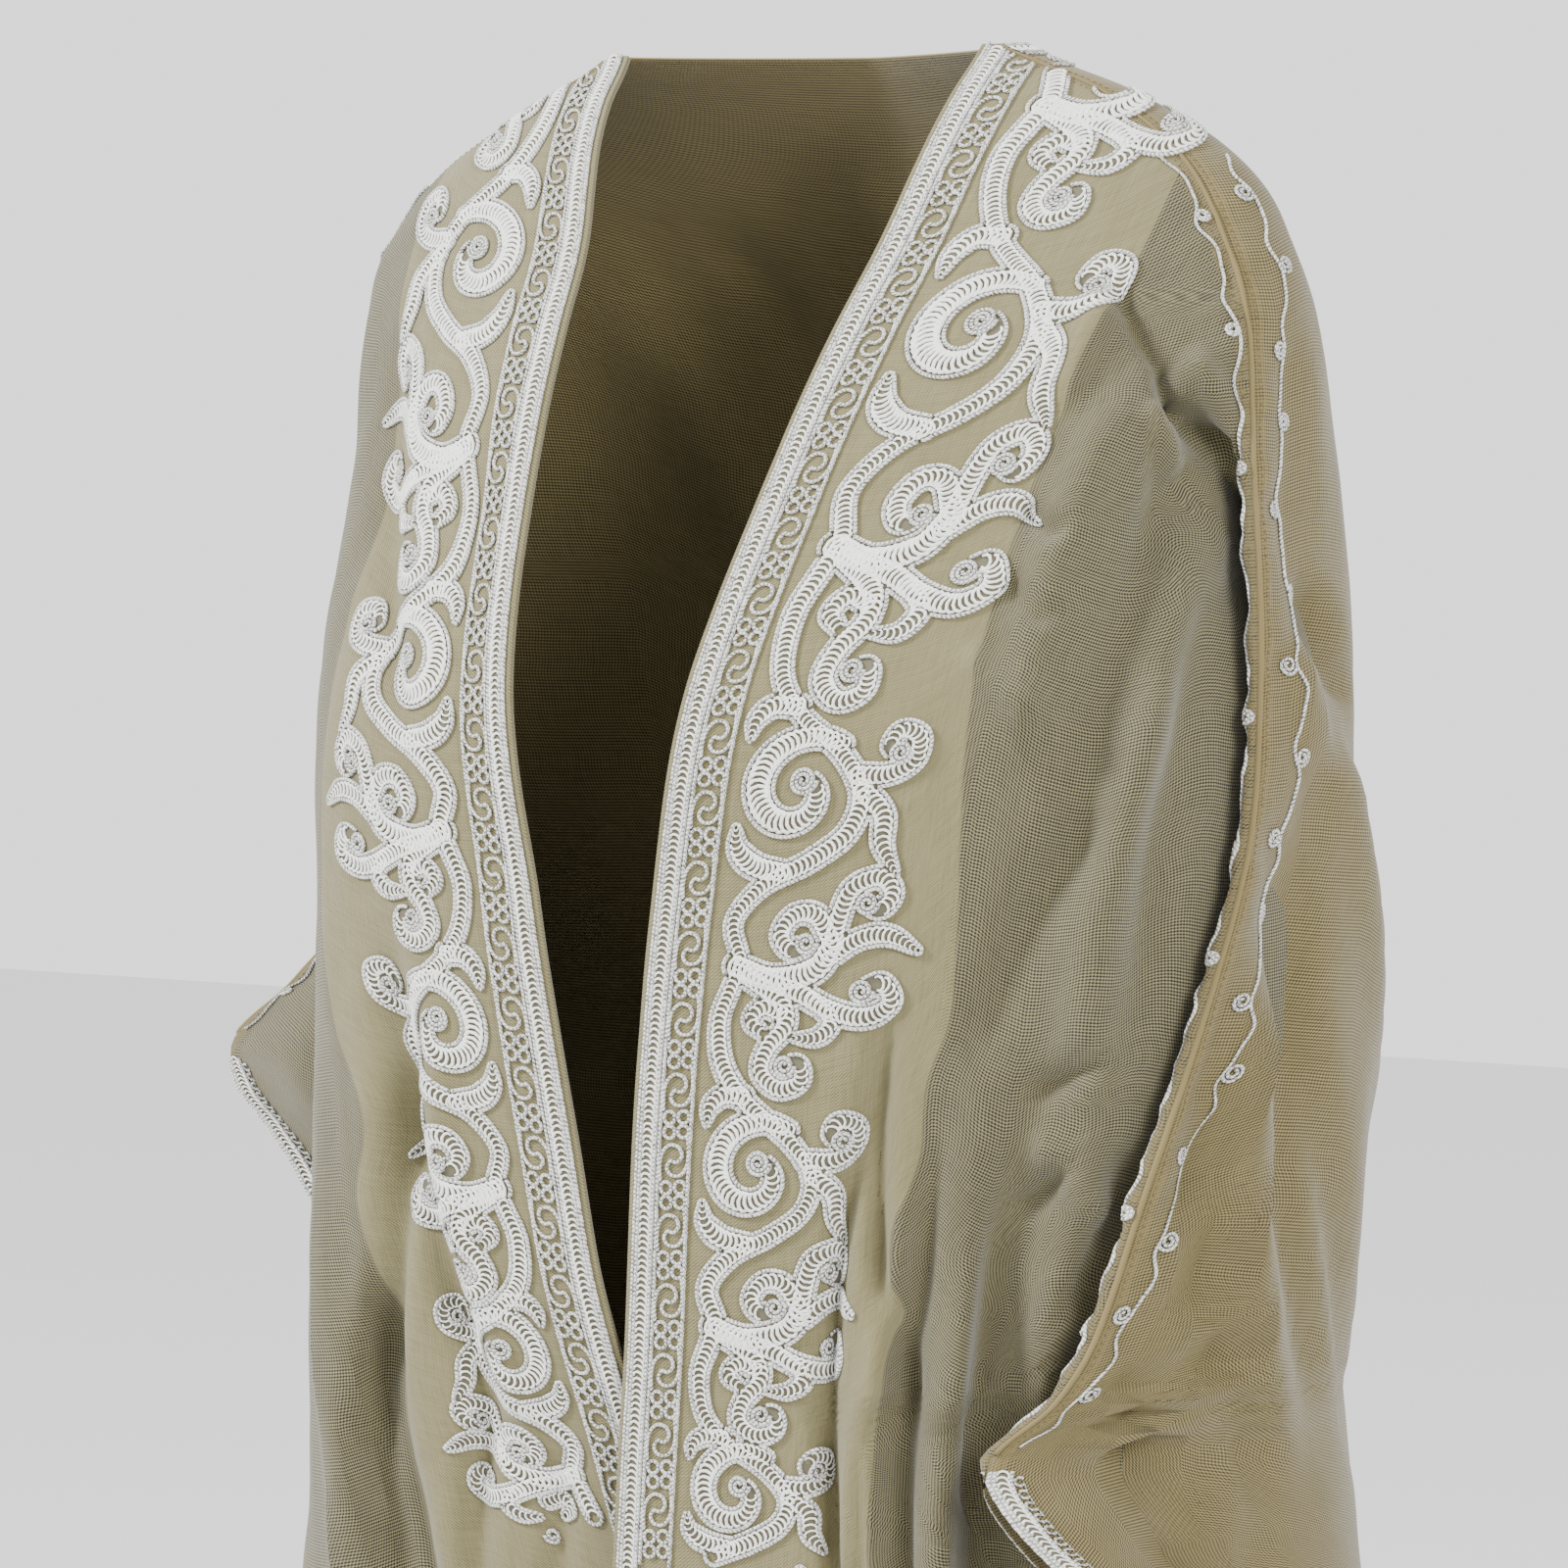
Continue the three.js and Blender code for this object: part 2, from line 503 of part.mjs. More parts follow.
// Each branch is a band through its points, with its width at the root, the middle and the tip.
const BRANCHES = [
  { name: "hook", widths: [9, 9, 3.5], points: [[20, 0.085], [10, 0.085], [4, 0.12], [3, 0.17]] },
  {
    name: "outer curl", widths: [9, 8, 7],
    points: [[50, 0.255], [65, 0.245], [73, 0.19], [67, 0.145], [62, 0.18]],
  },
  { name: "drop", widths: [9, 9, 3.5], points: [[53, 0.29], [63, 0.35], [65, 0.43], [72, 0.5]] },
  { name: "horn", widths: [9, 10, 4], points: [[26, 0.505], [13, 0.49], [5, 0.45], [3, 0.395]] },
  { name: "trunk", widths: [10, 11, 10], points: [[10, 0.745], [27, 0.775], [44, 0.745], [51, 0.675]] },
  {
    name: "tall curl", widths: [9, 8.5, 7.5],
    points: [[50, 0.69], [52, 0.6], [57, 0.53], [67, 0.51], [72, 0.555], [64, 0.59]],
  },
  {
    name: "fork curl", widths: [9, 8.5, 7.5],
    points: [[49, 0.665], [40, 0.605], [30, 0.62], [29, 0.675], [37, 0.695]],
  },
  { name: "fork horn", widths: [8, 8.5, 4], points: [[49, 0.72], [61, 0.665], [73, 0.655], [85, 0.69]] },
  {
    name: "low curl", widths: [9, 9, 8],
    points: [[16, 0.765], [40, 0.81], [62, 0.86], [75, 0.835], [73, 0.78], [64, 0.795]],
  },
  {
    name: "bud", widths: [9, 8.5, 7],
    points: [[16, 0.77], [32, 0.84], [32, 0.91], [25, 1], [33, 1.05], [42, 1.025], [37, 0.985]],
  },
];

// A point of the flat drawing, from its place in a repeat.
const inRepeat = (repeat, [across, down]) =>
  new THREE.Vector2(VINE_LEFT + across * repeat.reach, repeat.from + down * repeat.length);

function spiral(repeat) {
  const { across, down, outer, eye, start, turns, width, steps } = SPIRAL;
  const centre = inRepeat(repeat, [across, down]);
  const points = [];
  for (let k = 0; k <= steps; k++) {
    const t = k / steps;
    const r = repeat.size * mix(outer, eye, t ** 0.8);
    const a = radians(start - 360 * turns * t);
    points.push(new THREE.Vector2(centre.x + r * Math.cos(a), centre.y + r * Math.sin(a)));
  }
  return { points, width: () => width * repeat.size };
}

function branch(repeat, { points, widths }) {
  const [root, middle, tip] = widths;
  return {
    points: points.map((p) => inRepeat(repeat, p)),
    width: (t) => repeat.size * (t < 0.5 ? mix(root, middle, 2 * t) : mix(middle, tip, (2 * t - 1) ** 1.5)),
  };
}

function vineBands(repeats) {
  const all = repeats.flatMap((repeat) => STEM.map((p) => inRepeat(repeat, p)));
  const bands = [{ points: all.filter((p) => p.y > VINE_FROM && p.y < VINE_TO), width: () => STEM_WIDTH }];
  for (const repeat of repeats) {
    bands.push(spiral(repeat), ...BRANCHES.map((shape) => branch(repeat, shape)));
  }
  return bands.filter(({ points }) => points.every((p) => p.y > VINE_FROM - 3 && p.y < VINE_TO + 3));
}

// A band as a flat strip of constant height.
function bandSolid({ points, width }, height) {
  const last = points.length - 1;
  const vertices = [];
  points.forEach((p, k) => {
    const along = points[Math.min(last, k + 1)].clone().sub(points[Math.max(0, k - 1)]).normalize();
    const half = width(k / last) / 2;
    for (const [s, h] of [[-1, 0], [1, 0], [1, height], [-1, height]]) {
      vertices.push(new THREE.Vector3(p.x - along.y * s * half, p.y + along.x * s * half, h));
    }
  });
  const triangles = [[0, 2, 1], [0, 3, 2]];
  for (let k = 0; k < last; k++) {
    for (let s = 0; s < 4; s++) {
      const [a, b] = [4 * k + s, 4 * k + ((s + 1) % 4)];
      triangles.push([a, b, b + 4], [a, b + 4, a + 4]);
    }
  }
  const end = 4 * last;
  triangles.push([end, end + 1, end + 2], [end, end + 2, end + 3]);
  return solid(vertices, triangles);
}

const wasm = await Module();
wasm.setup();
const manifoldOf = (geometry) =>
  new wasm.Manifold(
    new wasm.Mesh({
      numProp: 3,
      vertProperties: geometry.attributes.position.array,
      triVerts: new Uint32Array(geometry.index.array),
    }),
  );

// One front's vine, drawn flat and joined into one body.
function flatVine(repeats) {
  return vineBands(repeats)
    .map((band) => manifoldOf(bandSolid(band, SCROLL)))
    .reduce((a, b) => a.add(b));
}

// Lays a flat body on a panel's own facets, so that it keeps its distance from them everywhere.
function laidOn(body, grid, normals, lift) {
  const strip = part(grid, 0, FACING_COLUMNS);
  const v = runningLength(strip.map((row) => row[0]));
  const mesh = body.getMesh();
  const vertices = [];
  for (let n = 0; n < mesh.numVert; n++) {
    const [x, y, h] = mesh.vertProperties.subarray(n * mesh.numProp, n * mesh.numProp + 3);
    vertices.push(facetPoint(strip, normals, v, x, y, h + lift));
  }
  const triangles = [];
  for (let n = 0; n < mesh.triVerts.length; n += 3) triangles.push([...mesh.triVerts.subarray(n, n + 3)]);
  return solid(vertices, triangles);
}

// The point at (x, y) of the strip, h above the facet that holds it.
function facetPoint(strip, normals, v, x, y, h) {
  let j = 0;
  while (j < v.length - 2 && v[j + 1] < y) j++;
  let i = 0;
  while (i < STRIP.length - 2 && STRIP[i + 1] < x) i++;
  const corner = (r, k) => ({ p: strip[r][k], n: normals[r][k], u: STRIP[k], v: v[r] });
  const a = corner(j, i);
  const c = corner(j + 1, i + 1);
  const above = (c.u - a.u) * (y - a.v) - (c.v - a.v) * (x - a.u) < 0;
  const b = above ? corner(j, i + 1) : corner(j + 1, i);
  const area = (b.u - a.u) * (c.v - a.v) - (c.u - a.u) * (b.v - a.v);
  const wb = ((x - a.u) * (c.v - a.v) - (c.u - a.u) * (y - a.v)) / area;
  const wc = ((b.u - a.u) * (y - a.v) - (x - a.u) * (b.v - a.v)) / area;
  const wa = 1 - wb - wc;
  const made = new THREE.Vector3();
  for (const [w, q] of [[wa, a], [wb, b], [wc, c]]) made.addScaledVector(q.p, w).addScaledVector(q.n, w * h);
  return made;
}

// ---------------------------------------------------------------- materials and pieces
const cloth = new THREE.MeshStandardMaterial({ color: 0x9a9070, roughness: 0.85, metalness: 0 });
const lightCloth = new THREE.MeshStandardMaterial({ color: 0xaaa186, roughness: 0.8, metalness: 0 });
const whiteCord = new THREE.MeshStandardMaterial({ color: 0xe9e8e4, roughness: 0.6, metalness: 0 });

const bisht = new THREE.Group();
function add(name, geometry, material) {
  const mesh = new THREE.Mesh(geometry, material);
  mesh.name = name;
  bisht.add(mesh);
}

// The points just past a row's two ends, in the panels it is sewn to.
function acrossSeams(section, name) {
  const inner = (row, fromEnd) => (fromEnd ? row[row.length - 2] : row[1]);
  if (name === "back") {
    return [
      section.openLeft ? null : inner(section.front_left, true),
      section.openRight ? null : inner(section.front_right, true),
    ];
  }
  const isLeft = name === "front_left";
  return [null, (isLeft ? section.openLeft : section.openRight) ? null : inner(section.back, !isLeft)];
}

const sections = ROWS.map(rowsOf);
const panels = {};
for (const [name, turn] of [["front_left", 1], ["front_right", -1], ["back", 1]]) {
  const grid = sections.map((section) => section[name]);
  panels[name] = { grid, normals: normalsOf(grid, turn, sections.map((section) => acrossSeams(section, name))) };
  add(name, wall(grid, panels[name].normals, -CLOTH / 2, CLOTH / 2), cloth);
}

const over = CLOTH / 2 + SEAM_GAP;
for (const side of ["left", "right"]) {
  const { grid, normals } = panels["front_" + side];
  const width = grid[0].length;

  // The facing lies inside the front edge; the braid lies outside it.
  const facing = [grid, normals].map((g) => part(g, 0, FACING_COLUMNS));
  add("facing_" + side, wall(...facing, -over - FACING, -over), lightCloth);
  const braid = [grid, normals].map((g) => part(g, 1, 3));
  add("edge_braid_" + side, wall(...braid, over, over + BRAID), whiteCord);
  add("scrollwork_" + side, laidOn(flatVine(REPEATS[side]), grid, normals, CLOTH / 2 + SCROLL_LIFT), whiteCord);

  // Braid round the hand opening, on the front and the back layer of the sleeve.
  const [first, last] = side === "left" ? LEFT_BRAID : RIGHT_BRAID;
  const cut = (g, from, to) => part(g.slice(ROWS.indexOf(first), ROWS.indexOf(last) + 1), from, to);
  const frontCuff = [grid, normals].map((g) => cut(g, width - 2, width));
  add("cuff_braid_front_" + side, wall(...frontCuff, over, over + BRAID), whiteCord);
  const back = panels.back;
  const end = back.grid[0].length;
  const span = side === "left" ? [0, 2] : [end - 2, end];
  const backCuff = [back.grid, back.normals].map((g) => cut(g, ...span));
  add("cuff_braid_back_" + side, wall(...backCuff, over, over + BRAID), whiteCord);
}

// The braid goes on round the back of the neck.
function alongNeck({ grid, normals }) {
  const ends = [BRAID_EDGE, BRAID_EDGE + BRAID_WIDTH];
  const rows = [0, 1, 2].map(() => ({ points: [], normals: [] }));
  grid[0].forEach((first, i) => {
    const step = grid[1][i].distanceTo(first);
    const next = grid[2][i].distanceTo(grid[1][i]);
    const distances = [ends[0], Math.min(ends[1] - 2, step), ends[1]];
    distances.forEach((d, k) => {
      const [j, t] = d <= step ? [0, d / step] : [1, (d - step) / next];
      rows[k].points.push(grid[j][i].clone().lerp(grid[j + 1][i], t));
      rows[k].normals.push(normals[j][i].clone().lerp(normals[j + 1][i], t));
    });
  });
  return [rows.map((row) => row.points), rows.map((row) => row.normals)];
}
add("edge_braid_neck", wall(...alongNeck(panels.back), over, over + BRAID), whiteCord);

export default bisht;
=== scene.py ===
# %% [markdown]
# # A bisht
# A bisht is a long open cloak. Two front panels and one back panel of thin wool gauze hang from the
# shoulders, and white cord is worked along the front edges, the neck and the hand openings. We build it from
# the inside out: the sections of the draped body, the panels of cloth on them, then the cord on the cloth.
#
# The first cell loads the frame, which holds the part's solids in the row's axes: +X is the wearer's left,
# -Y the front and +Z up. Every finished piece keeps close to the box that those solids fill.

# %% The frame
import math
from collections import namedtuple

import bpy
import numpy as np
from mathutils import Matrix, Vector, noise


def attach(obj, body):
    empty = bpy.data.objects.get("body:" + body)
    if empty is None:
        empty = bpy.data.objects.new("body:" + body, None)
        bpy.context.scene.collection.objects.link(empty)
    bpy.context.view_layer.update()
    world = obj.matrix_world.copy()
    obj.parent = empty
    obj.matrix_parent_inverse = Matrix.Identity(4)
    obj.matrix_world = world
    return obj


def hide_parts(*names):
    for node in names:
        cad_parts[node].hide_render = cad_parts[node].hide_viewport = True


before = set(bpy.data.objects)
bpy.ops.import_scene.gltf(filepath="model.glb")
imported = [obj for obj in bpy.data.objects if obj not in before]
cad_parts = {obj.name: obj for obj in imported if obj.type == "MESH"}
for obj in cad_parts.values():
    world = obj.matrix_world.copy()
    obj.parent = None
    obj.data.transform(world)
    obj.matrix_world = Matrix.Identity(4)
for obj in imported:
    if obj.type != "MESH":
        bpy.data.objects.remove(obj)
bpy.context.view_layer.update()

MM = 0.001
SIDES = ("left", "right")

# %% [markdown]
# The cloak's shape follows a rule: at each height a section goes round the wearer, with a half width on each
# side, a depth in front and behind, and a squareness. These tables give the same sections as the solids, so
# the cloth can be made again here from the same numbers, only finer. Distances are in millimetres, and places
# round the wearer are degrees from the front.

# %% Tables of the hung shape
LENGTH = 1380.0
TOP = -4.0
FACING_WIDTH = 140.0
CUFF_BRAID = 11.0
LIP_RADIUS = 3.5
SEAM_PAST_LIP = 3.0
LAP_DEPTH, LAP_TOP, LAP_FULL = 12.0, -520.0, -640.0
FLAP_FROM, FLAP_FULL = -135.0, -265.0
UNDER_FLAP, UNDER_LIP = 10.0, 11.0
LEFT_CUFF = {"top": -597.0, "bottom": -725.0, "mouth": 14.0}
RIGHT_CUFF = {"top": -474.0, "bottom": -609.0, "mouth": 14.0}
CUFF_END = 6.0


def table(names, *rows):
    """A table of named columns, one row for each height."""
    return {name: np.array(values, float) for name, values in zip(names.split(), zip(*rows))}


FIGURE = table(
    "z left right front back square flat",
    (0, 97, 96, 14, 60, 1.3, 0),
    (-12, 126, 115, 29, 69, 1.38, 0),
    (-27, 167, 146, 44, 80, 1.46, 0),
    (-56, 213, 193, 62, 98, 1.65, 0),
    (-90, 235, 221, 80, 110, 1.85, 0),
    (-130, 247, 226, 103, 118, 2.05, 0),
    (-200, 253, 222, 135, 122, 2.2, 0),
    (-287, 258, 215, 165, 121, 2.3, 0.5),
    (-375, 265, 207, 167, 118, 2.3, 1.0),
    (-463, 269, 208, 166, 119, 2.3, 1.2),
    (-595, 270, 213, 162, 126, 2.3, 1.2),
    (-760, 274, 221, 163, 137, 2.25, 1.1),
    (-1000, 286, 246, 172, 152, 2.2, 0.7),
    (-LENGTH, 304, 278, 190, 174, 2.15, 0.4),
)
FRONT_EDGES = table(
    "z left right",
    (0, 92, 90.4), (-27, 90, 85.6), (-90, 79, 69), (-177, 58, 62), (-287, 34, 52), (-375, 20, 36),
    (-463, 11, 20), (-551, 5, 4), (-620, 0, -14), (-700, -4, -36), (-900, -8, -48), (-LENGTH, -14, -56),
)
LEFT_SLEEVE = table(
    "z lip tuck out hollow",
    (0, 88, 91, 0, 9),
    (-60, 84.5, 90, 0, 9),
    (-124, 82, 91, 0, 9),
    (-200, 79, 95, 3, 10),
    (-285, 76.5, 98, 4, 12),
    (-342, 74, 100, 6, 14),
    (-403, 69, 100, 10, 16),
    (-484, 62, 98, 18, 18),
    (-546, 57, 97, 25, 20),
    (-571, 53, 96, 33, 21),
    (-597, 46.5, 95, 44, 22),
    (-650, 55, 96, 36, 22),
    (-687, 65, 97, 22, 21),
    (-725, 76, 98, 10, 20),
    (-880, 80, 98, 6, 18),
    (-LENGTH, 82, 99, 6, 20),
)
RIGHT_SLEEVE = table(
    "z tip out crest valley inset root",
    (0, 90, 0, 66, 80, 0, 108),
    (-90, 91, 0, 66, 80, 0, 108),
    (-180, 96, 9, 68, 83, 4, 118),
    (-290, 98, 28, 71, 86, 12, 124),
    (-396, 96, 56, 73, 87, 18, 126),
    (-438, 95, 92, 73, 87, 20, 126),
    (-474, 94.5, 128, 73, 87, 20, 126),
    (-518, 94.5, 82, 73, 87, 18, 125),
    (-568, 96, 49, 72, 87, 15, 124),
    (-618, 98, 30, 72, 87, 12, 123),
    (-775, 99, 20, 72, 87, 10, 122),
    (-LENGTH, 99, 19, 72, 87, 12, 122),
)

# Hanging folds: place along the cloth, drift for each metre down, half width, rise, and the heights where the
# fold starts and is full.
FOLD_COLUMNS = "at drift width rise top full"
FOLDS = {
    "front_left": table(
        FOLD_COLUMNS,
        (150, -8, 12, 7, -450, -600),
        (178, 0, 15, -8, -300, -520),
        (226, -60, 22, 5, -90, -240),
        (96, 8, 22, 20, -760, -1150),
        (212, 12, 20, 20, -700, -1150),
    ),
    "front_right": table(
        FOLD_COLUMNS,
        (127, 8, 10, -11, -500, -640),
        (154, 16, 15, 13, -430, -600),
        (96, 4, 20, 15, -760, -1150),
        (186, 24, 18, -21, -600, -960),
        (226, 30, 18, 23, -600, -960),
        (270, 34, 18, -23, -620, -960),
        (312, 36, 18, 22, -640, -960),
    ),
    "back": table(
        FOLD_COLUMNS,
        (0, 0, 24, 21, -190, -860),
        (50, 12, 20, -25, -230, -860),
        (98, 22, 22, 24, -170, -760),
        (146, 34, 20, -25, -270, -860),
        (196, 40, 22, 24, -380, -860),
        (246, 42, 22, -23, -600, -960),
        (300, 42, 22, 22, -700, -1050),
        (-50, -14, 21, -25, -200, -820),
        (-98, -20, 22, 25, -220, -820),
        (-148, -30, 21, -25, -300, -860),
        (-198, -38, 22, 24, -380, -860),
        (-248, -44, 22, -23, -600, -960),
    ),
}
print("sections at", len(FIGURE["z"]), "heights;", sum(len(f["at"]) for f in FOLDS.values()), "hanging folds")


# %% Reading the tables
def mix(a, b, t):
    return a + (b - a) * t


def smooth(x):
    t = np.clip(x, 0, 1)
    return t * t * (3 - 2 * t)


def ramp(start, full, z):
    return smooth((z - start) / (full - start))


def at(rows, column, z):
    """A column of a table at heights z, on a smooth curve through its rows."""
    zs, vs = rows["z"], rows[column]
    z = np.asarray(z, float)
    last = len(zs) - 1
    k = np.clip(np.searchsorted(-zs, -z, side="right") - 1, 0, last - 1)

    def slope(j):
        a, b = np.maximum(0, j - 1), np.minimum(last, j + 1)
        return (vs[b] - vs[a]) / (zs[b] - zs[a])

    span = zs[k + 1] - zs[k]
    t = np.clip((z - zs[k]) / span, 0, 1)
    t2, t3 = t * t, t * t * t
    start = (2 * t3 - 3 * t2 + 1) * vs[k] + (t3 - 2 * t2 + t) * span * slope(k)
    return start + (3 * t2 - 2 * t3) * vs[k + 1] + (t3 - t2) * span * slope(k + 1)


def of_side(side):
    """The name of a side that is given as 1 for the wearer's left or -1 for the right."""
    return SIDES[0] if side > 0 else SIDES[1]


def on_figure(side, degrees, z, out=0.0):
    """Points of the sections at polar angles from the front, moved out from the section or in."""
    degrees, z, out = np.broadcast_arrays(np.asarray(degrees, float), z, out)
    angle = np.radians(degrees)
    across = np.abs(np.sin(angle)) / at(FIGURE, of_side(side), z)
    depth = np.where(np.abs(degrees) < 90, at(FIGURE, "front", z), at(FIGURE, "back", z))
    square = at(FIGURE, "square", z)
    if side < 0:  # the wearer's right front hangs flatter
        square = square + np.where(np.abs(degrees) > 90, 0, at(FIGURE, "flat", z))
    r = (across**square + (np.abs(np.cos(angle)) / depth) ** square) ** (-1 / square) + out
    return np.stack([side * r * np.sin(angle), -r * np.cos(angle), z], axis=-1)


def run_along(points, axis):
    """How far each point lies along its row or column."""
    steps = np.linalg.norm(np.diff(points, axis=axis), axis=-1)
    zero = np.zeros_like(np.take(steps, [0], axis=axis))
    return np.concatenate([zero, np.cumsum(steps, axis=axis)], axis=axis)


# %% [markdown]
# Each row of cloth is a smooth curve through a few control points: along the front, over the side, and on the
# wearer's left back under the sleeve's flap, which hangs folded forward over the front. The control points
# come from the tables, and a centripetal Catmull-Rom curve joins them without overshooting in tight turns.

# %% Control points of the rows
STRIP = [0, 2.5, 13, 34, 58, 84, 112, 126, FACING_WIDTH]
STRIP_SHARE = 0.8  # the strip takes no more than this share of the way to the seam
LAP_REACH, LAP_FADE = 125, 60  # where the right front goes in under the left one, across the strip
WALK = np.linspace(0, 1, 161)


def strip_points(side, z, seam_angle):
    """The embroidered strip's points, at their distances from the front edge."""
    x = at(FRONT_EDGES, of_side(side), z)
    width = at(FIGURE, of_side(side), z)
    square = at(FIGURE, "square", z) + (0 if side > 0 else at(FIGURE, "flat", z))
    reach = np.minimum(0.999, np.abs(x) / width)
    start = np.degrees(np.arctan2(x, at(FIGURE, "front", z) * (1 - reach**square) ** (1 / square)))
    angles = mix(start[:, None], seam_angle[:, None], WALK[None, :])
    walked = run_along(on_figure(side, angles, z[:, None]), 1)
    squeeze = np.minimum(1, STRIP_SHARE * walked[:, -1] / FACING_WIDTH)
    lap = LAP_DEPTH * ramp(LAP_TOP, LAP_FULL, z) if side < 0 else 0 * z
    points = []
    for distance in STRIP:
        angle = np.array([np.interp(distance * q, s, a) for q, s, a in zip(squeeze, walked, angles)])
        points.append(on_figure(side, angle, z, -lap * smooth((LAP_REACH - distance) / LAP_FADE)))
    return points, angle


def mouth_of(cuff, z):
    """Half the gap between the two layers of a hand opening."""
    t = np.clip((z - cuff["top"]) / (cuff["bottom"] - cuff["top"]), 0, 1)
    return cuff["mouth"] * np.sin(np.pi * t) ** 0.6


def toward(degrees, side):
    """The level direction that points this far round the wearer."""
    a = np.radians(degrees)
    return np.stack([side * np.sin(a), -np.cos(a), 0 * a], axis=-1)


def moved(points, z, along, by, out, up):
    """Points moved by one distance along a first direction and by another along a second."""
    return points + along * np.asarray(by + 0 * z)[:, None] + out * np.asarray(up + 0 * z)[:, None]


# %% The wearer's left
BEHIND_FLAP = 113.0  # how far round the back panel leaves the flap
FURTHER_BACK = (BEHIND_FLAP, 128, 144, 160)
PROUD_FADE = 34.0  # degrees over which the flap's thickness dies away
MOUTH_OPEN = 7.0  # half a mouth's gap at which its two layers are fully apart


def left_controls(z):
    """Control points of the wearer's left: the front panel's, then the first of the back panel's."""
    lip, tuck = at(LEFT_SLEEVE, "lip", z), at(LEFT_SLEEVE, "tuck", z)
    out, hollow = at(LEFT_SLEEVE, "out", z), at(LEFT_SLEEVE, "hollow", z)
    folded = ramp(FLAP_FROM, FLAP_FULL, z)[:, None]
    strip, strip_end = strip_points(1, z, lip)
    outward, forward = toward(lip, 1), toward(lip - 90, 1)
    edge = on_figure(1, lip, z, out)
    under = hollow + UNDER_FLAP
    meets = np.maximum(lip, strip_end + 10)  # where the panel goes in under the flap
    mouth = mouth_of(LEFT_CUFF, z)
    opened = smooth(mouth / MOUTH_OPEN)[:, None]

    def near(back, up):
        return moved(edge, z, -forward, back, outward, up)

    def proud(angle):
        return out * (1 - smooth((angle - lip) / PROUD_FADE))

    def layer(angle, down):
        return on_figure(1, angle, z, proud(angle) - down)

    def either(closed, opening):
        return mix(closed, opening, opened)

    folds = [
        (on_figure(1, mix(strip_end, meets, 0.5), z), 0.12),
        (on_figure(1, meets - 1.5, z, -1 - np.maximum(0, UNDER_LIP - out)), 0.25),
        (on_figure(1, mix(meets, tuck, 0.45), z, -0.95 * under), 0.38),
        (on_figure(1, tuck + 2.2, z, -hollow - UNDER_FLAP / 2), 0.5),
        (layer(mix(tuck, lip, 0.12), hollow), 0.62),
        (layer(mix(tuck, lip, 0.5), hollow), 0.74),
        (either(near(18, -2 * LIP_RADIUS - 1), near(2 * CUFF_BRAID, -mouth - 2)), 0.86),
        (either(near(0, -LIP_RADIUS), near(CUFF_BRAID, -mouth)), 0.93),
        (either(near(SEAM_PAST_LIP, 0), near(0, -mouth)), 1.0),
    ]
    front = []
    for there, share in folds:
        plain = on_figure(1, mix(strip_end, lip, share), z)
        front.append(mix(plain, there, folded))
    second = mix(on_figure(1, mix(lip, BEHIND_FLAP, 0.1), z), near(14, 1), folded)
    back = [either(front[-1], near(0, mouth)), either(second, near(CUFF_BRAID, mouth))]
    # Near the lip the points follow it; further round they keep their places.
    followed = [mix(lip, BEHIND_FLAP, share) for share in (0.3, 0.6)]
    for angle in followed + [degrees + 0 * z for degrees in FURTHER_BACK]:
        back.append(on_figure(1, angle, z, proud(angle) * folded[:, 0]))
    return strip + front, back


# %% The wearer's right
SHARP_OUT = 30.0  # how far the sleeve stands out where its fold is sharp
TO_MIDDLE_BACK = (0, 0.22, 0.46, 0.7, 0.86)  # shares of the way from the sleeve's root


def right_controls(z):
    """Control points of the wearer's right: the front panel's, then the last of the back panel's."""
    names = "tip out crest valley inset root".split()
    tip, out, crest, valley, inset, root = (at(RIGHT_SLEEVE, name, z) for name in names)
    strip, strip_end = strip_points(-1, z, tip)
    outward, backward = toward(tip, -1), toward(tip + 90, -1)
    point = on_figure(-1, tip, z, out)
    mouth = mouth_of(RIGHT_CUFF, z)
    opened = smooth(mouth / MOUTH_OPEN)[:, None]
    sharp = smooth(out / SHARP_OUT)[:, None]

    def near(inward, behind):
        return moved(point, z, -outward, inward, backward, behind)

    def fold(share, of, to, there):
        """A point a share of the way round, drawn to its place by the fold where the fold is sharp."""
        return mix(on_figure(-1, mix(of, to, share), z), there, sharp)

    crest = np.maximum(crest, mix(strip_end, tip, 0.3))
    valley = mix(crest, tip, 0.58)
    front = [
        on_figure(-1, mix(strip_end, crest, 0.5), z),
        on_figure(-1, crest, z),
        on_figure(-1, mix(crest, valley, 0.6), z, -0.75 * inset),
        on_figure(-1, mix(valley, tip, 0.15), z, -inset + 0.2 * out),
        fold(0.45, valley, tip, near(0.45 * out + 10, -0.16 * out - 7)),
        mix(fold(0.72, valley, tip, near(9, -5)), near(CUFF_BRAID, -mouth), opened),
        mix(point, near(0, -mouth), opened),
    ]
    back = [
        mix(point, near(0, mouth), opened),
        mix(fold(0.2, tip, root, near(9, 5)), near(CUFF_BRAID, mouth), opened),
        fold(0.5, tip, root, near(0.5 * out + 10, 0.34 * out + 9)),
    ]
    back += [on_figure(-1, mix(root, 180, share), z) for share in TO_MIDDLE_BACK]
    return strip + front, back


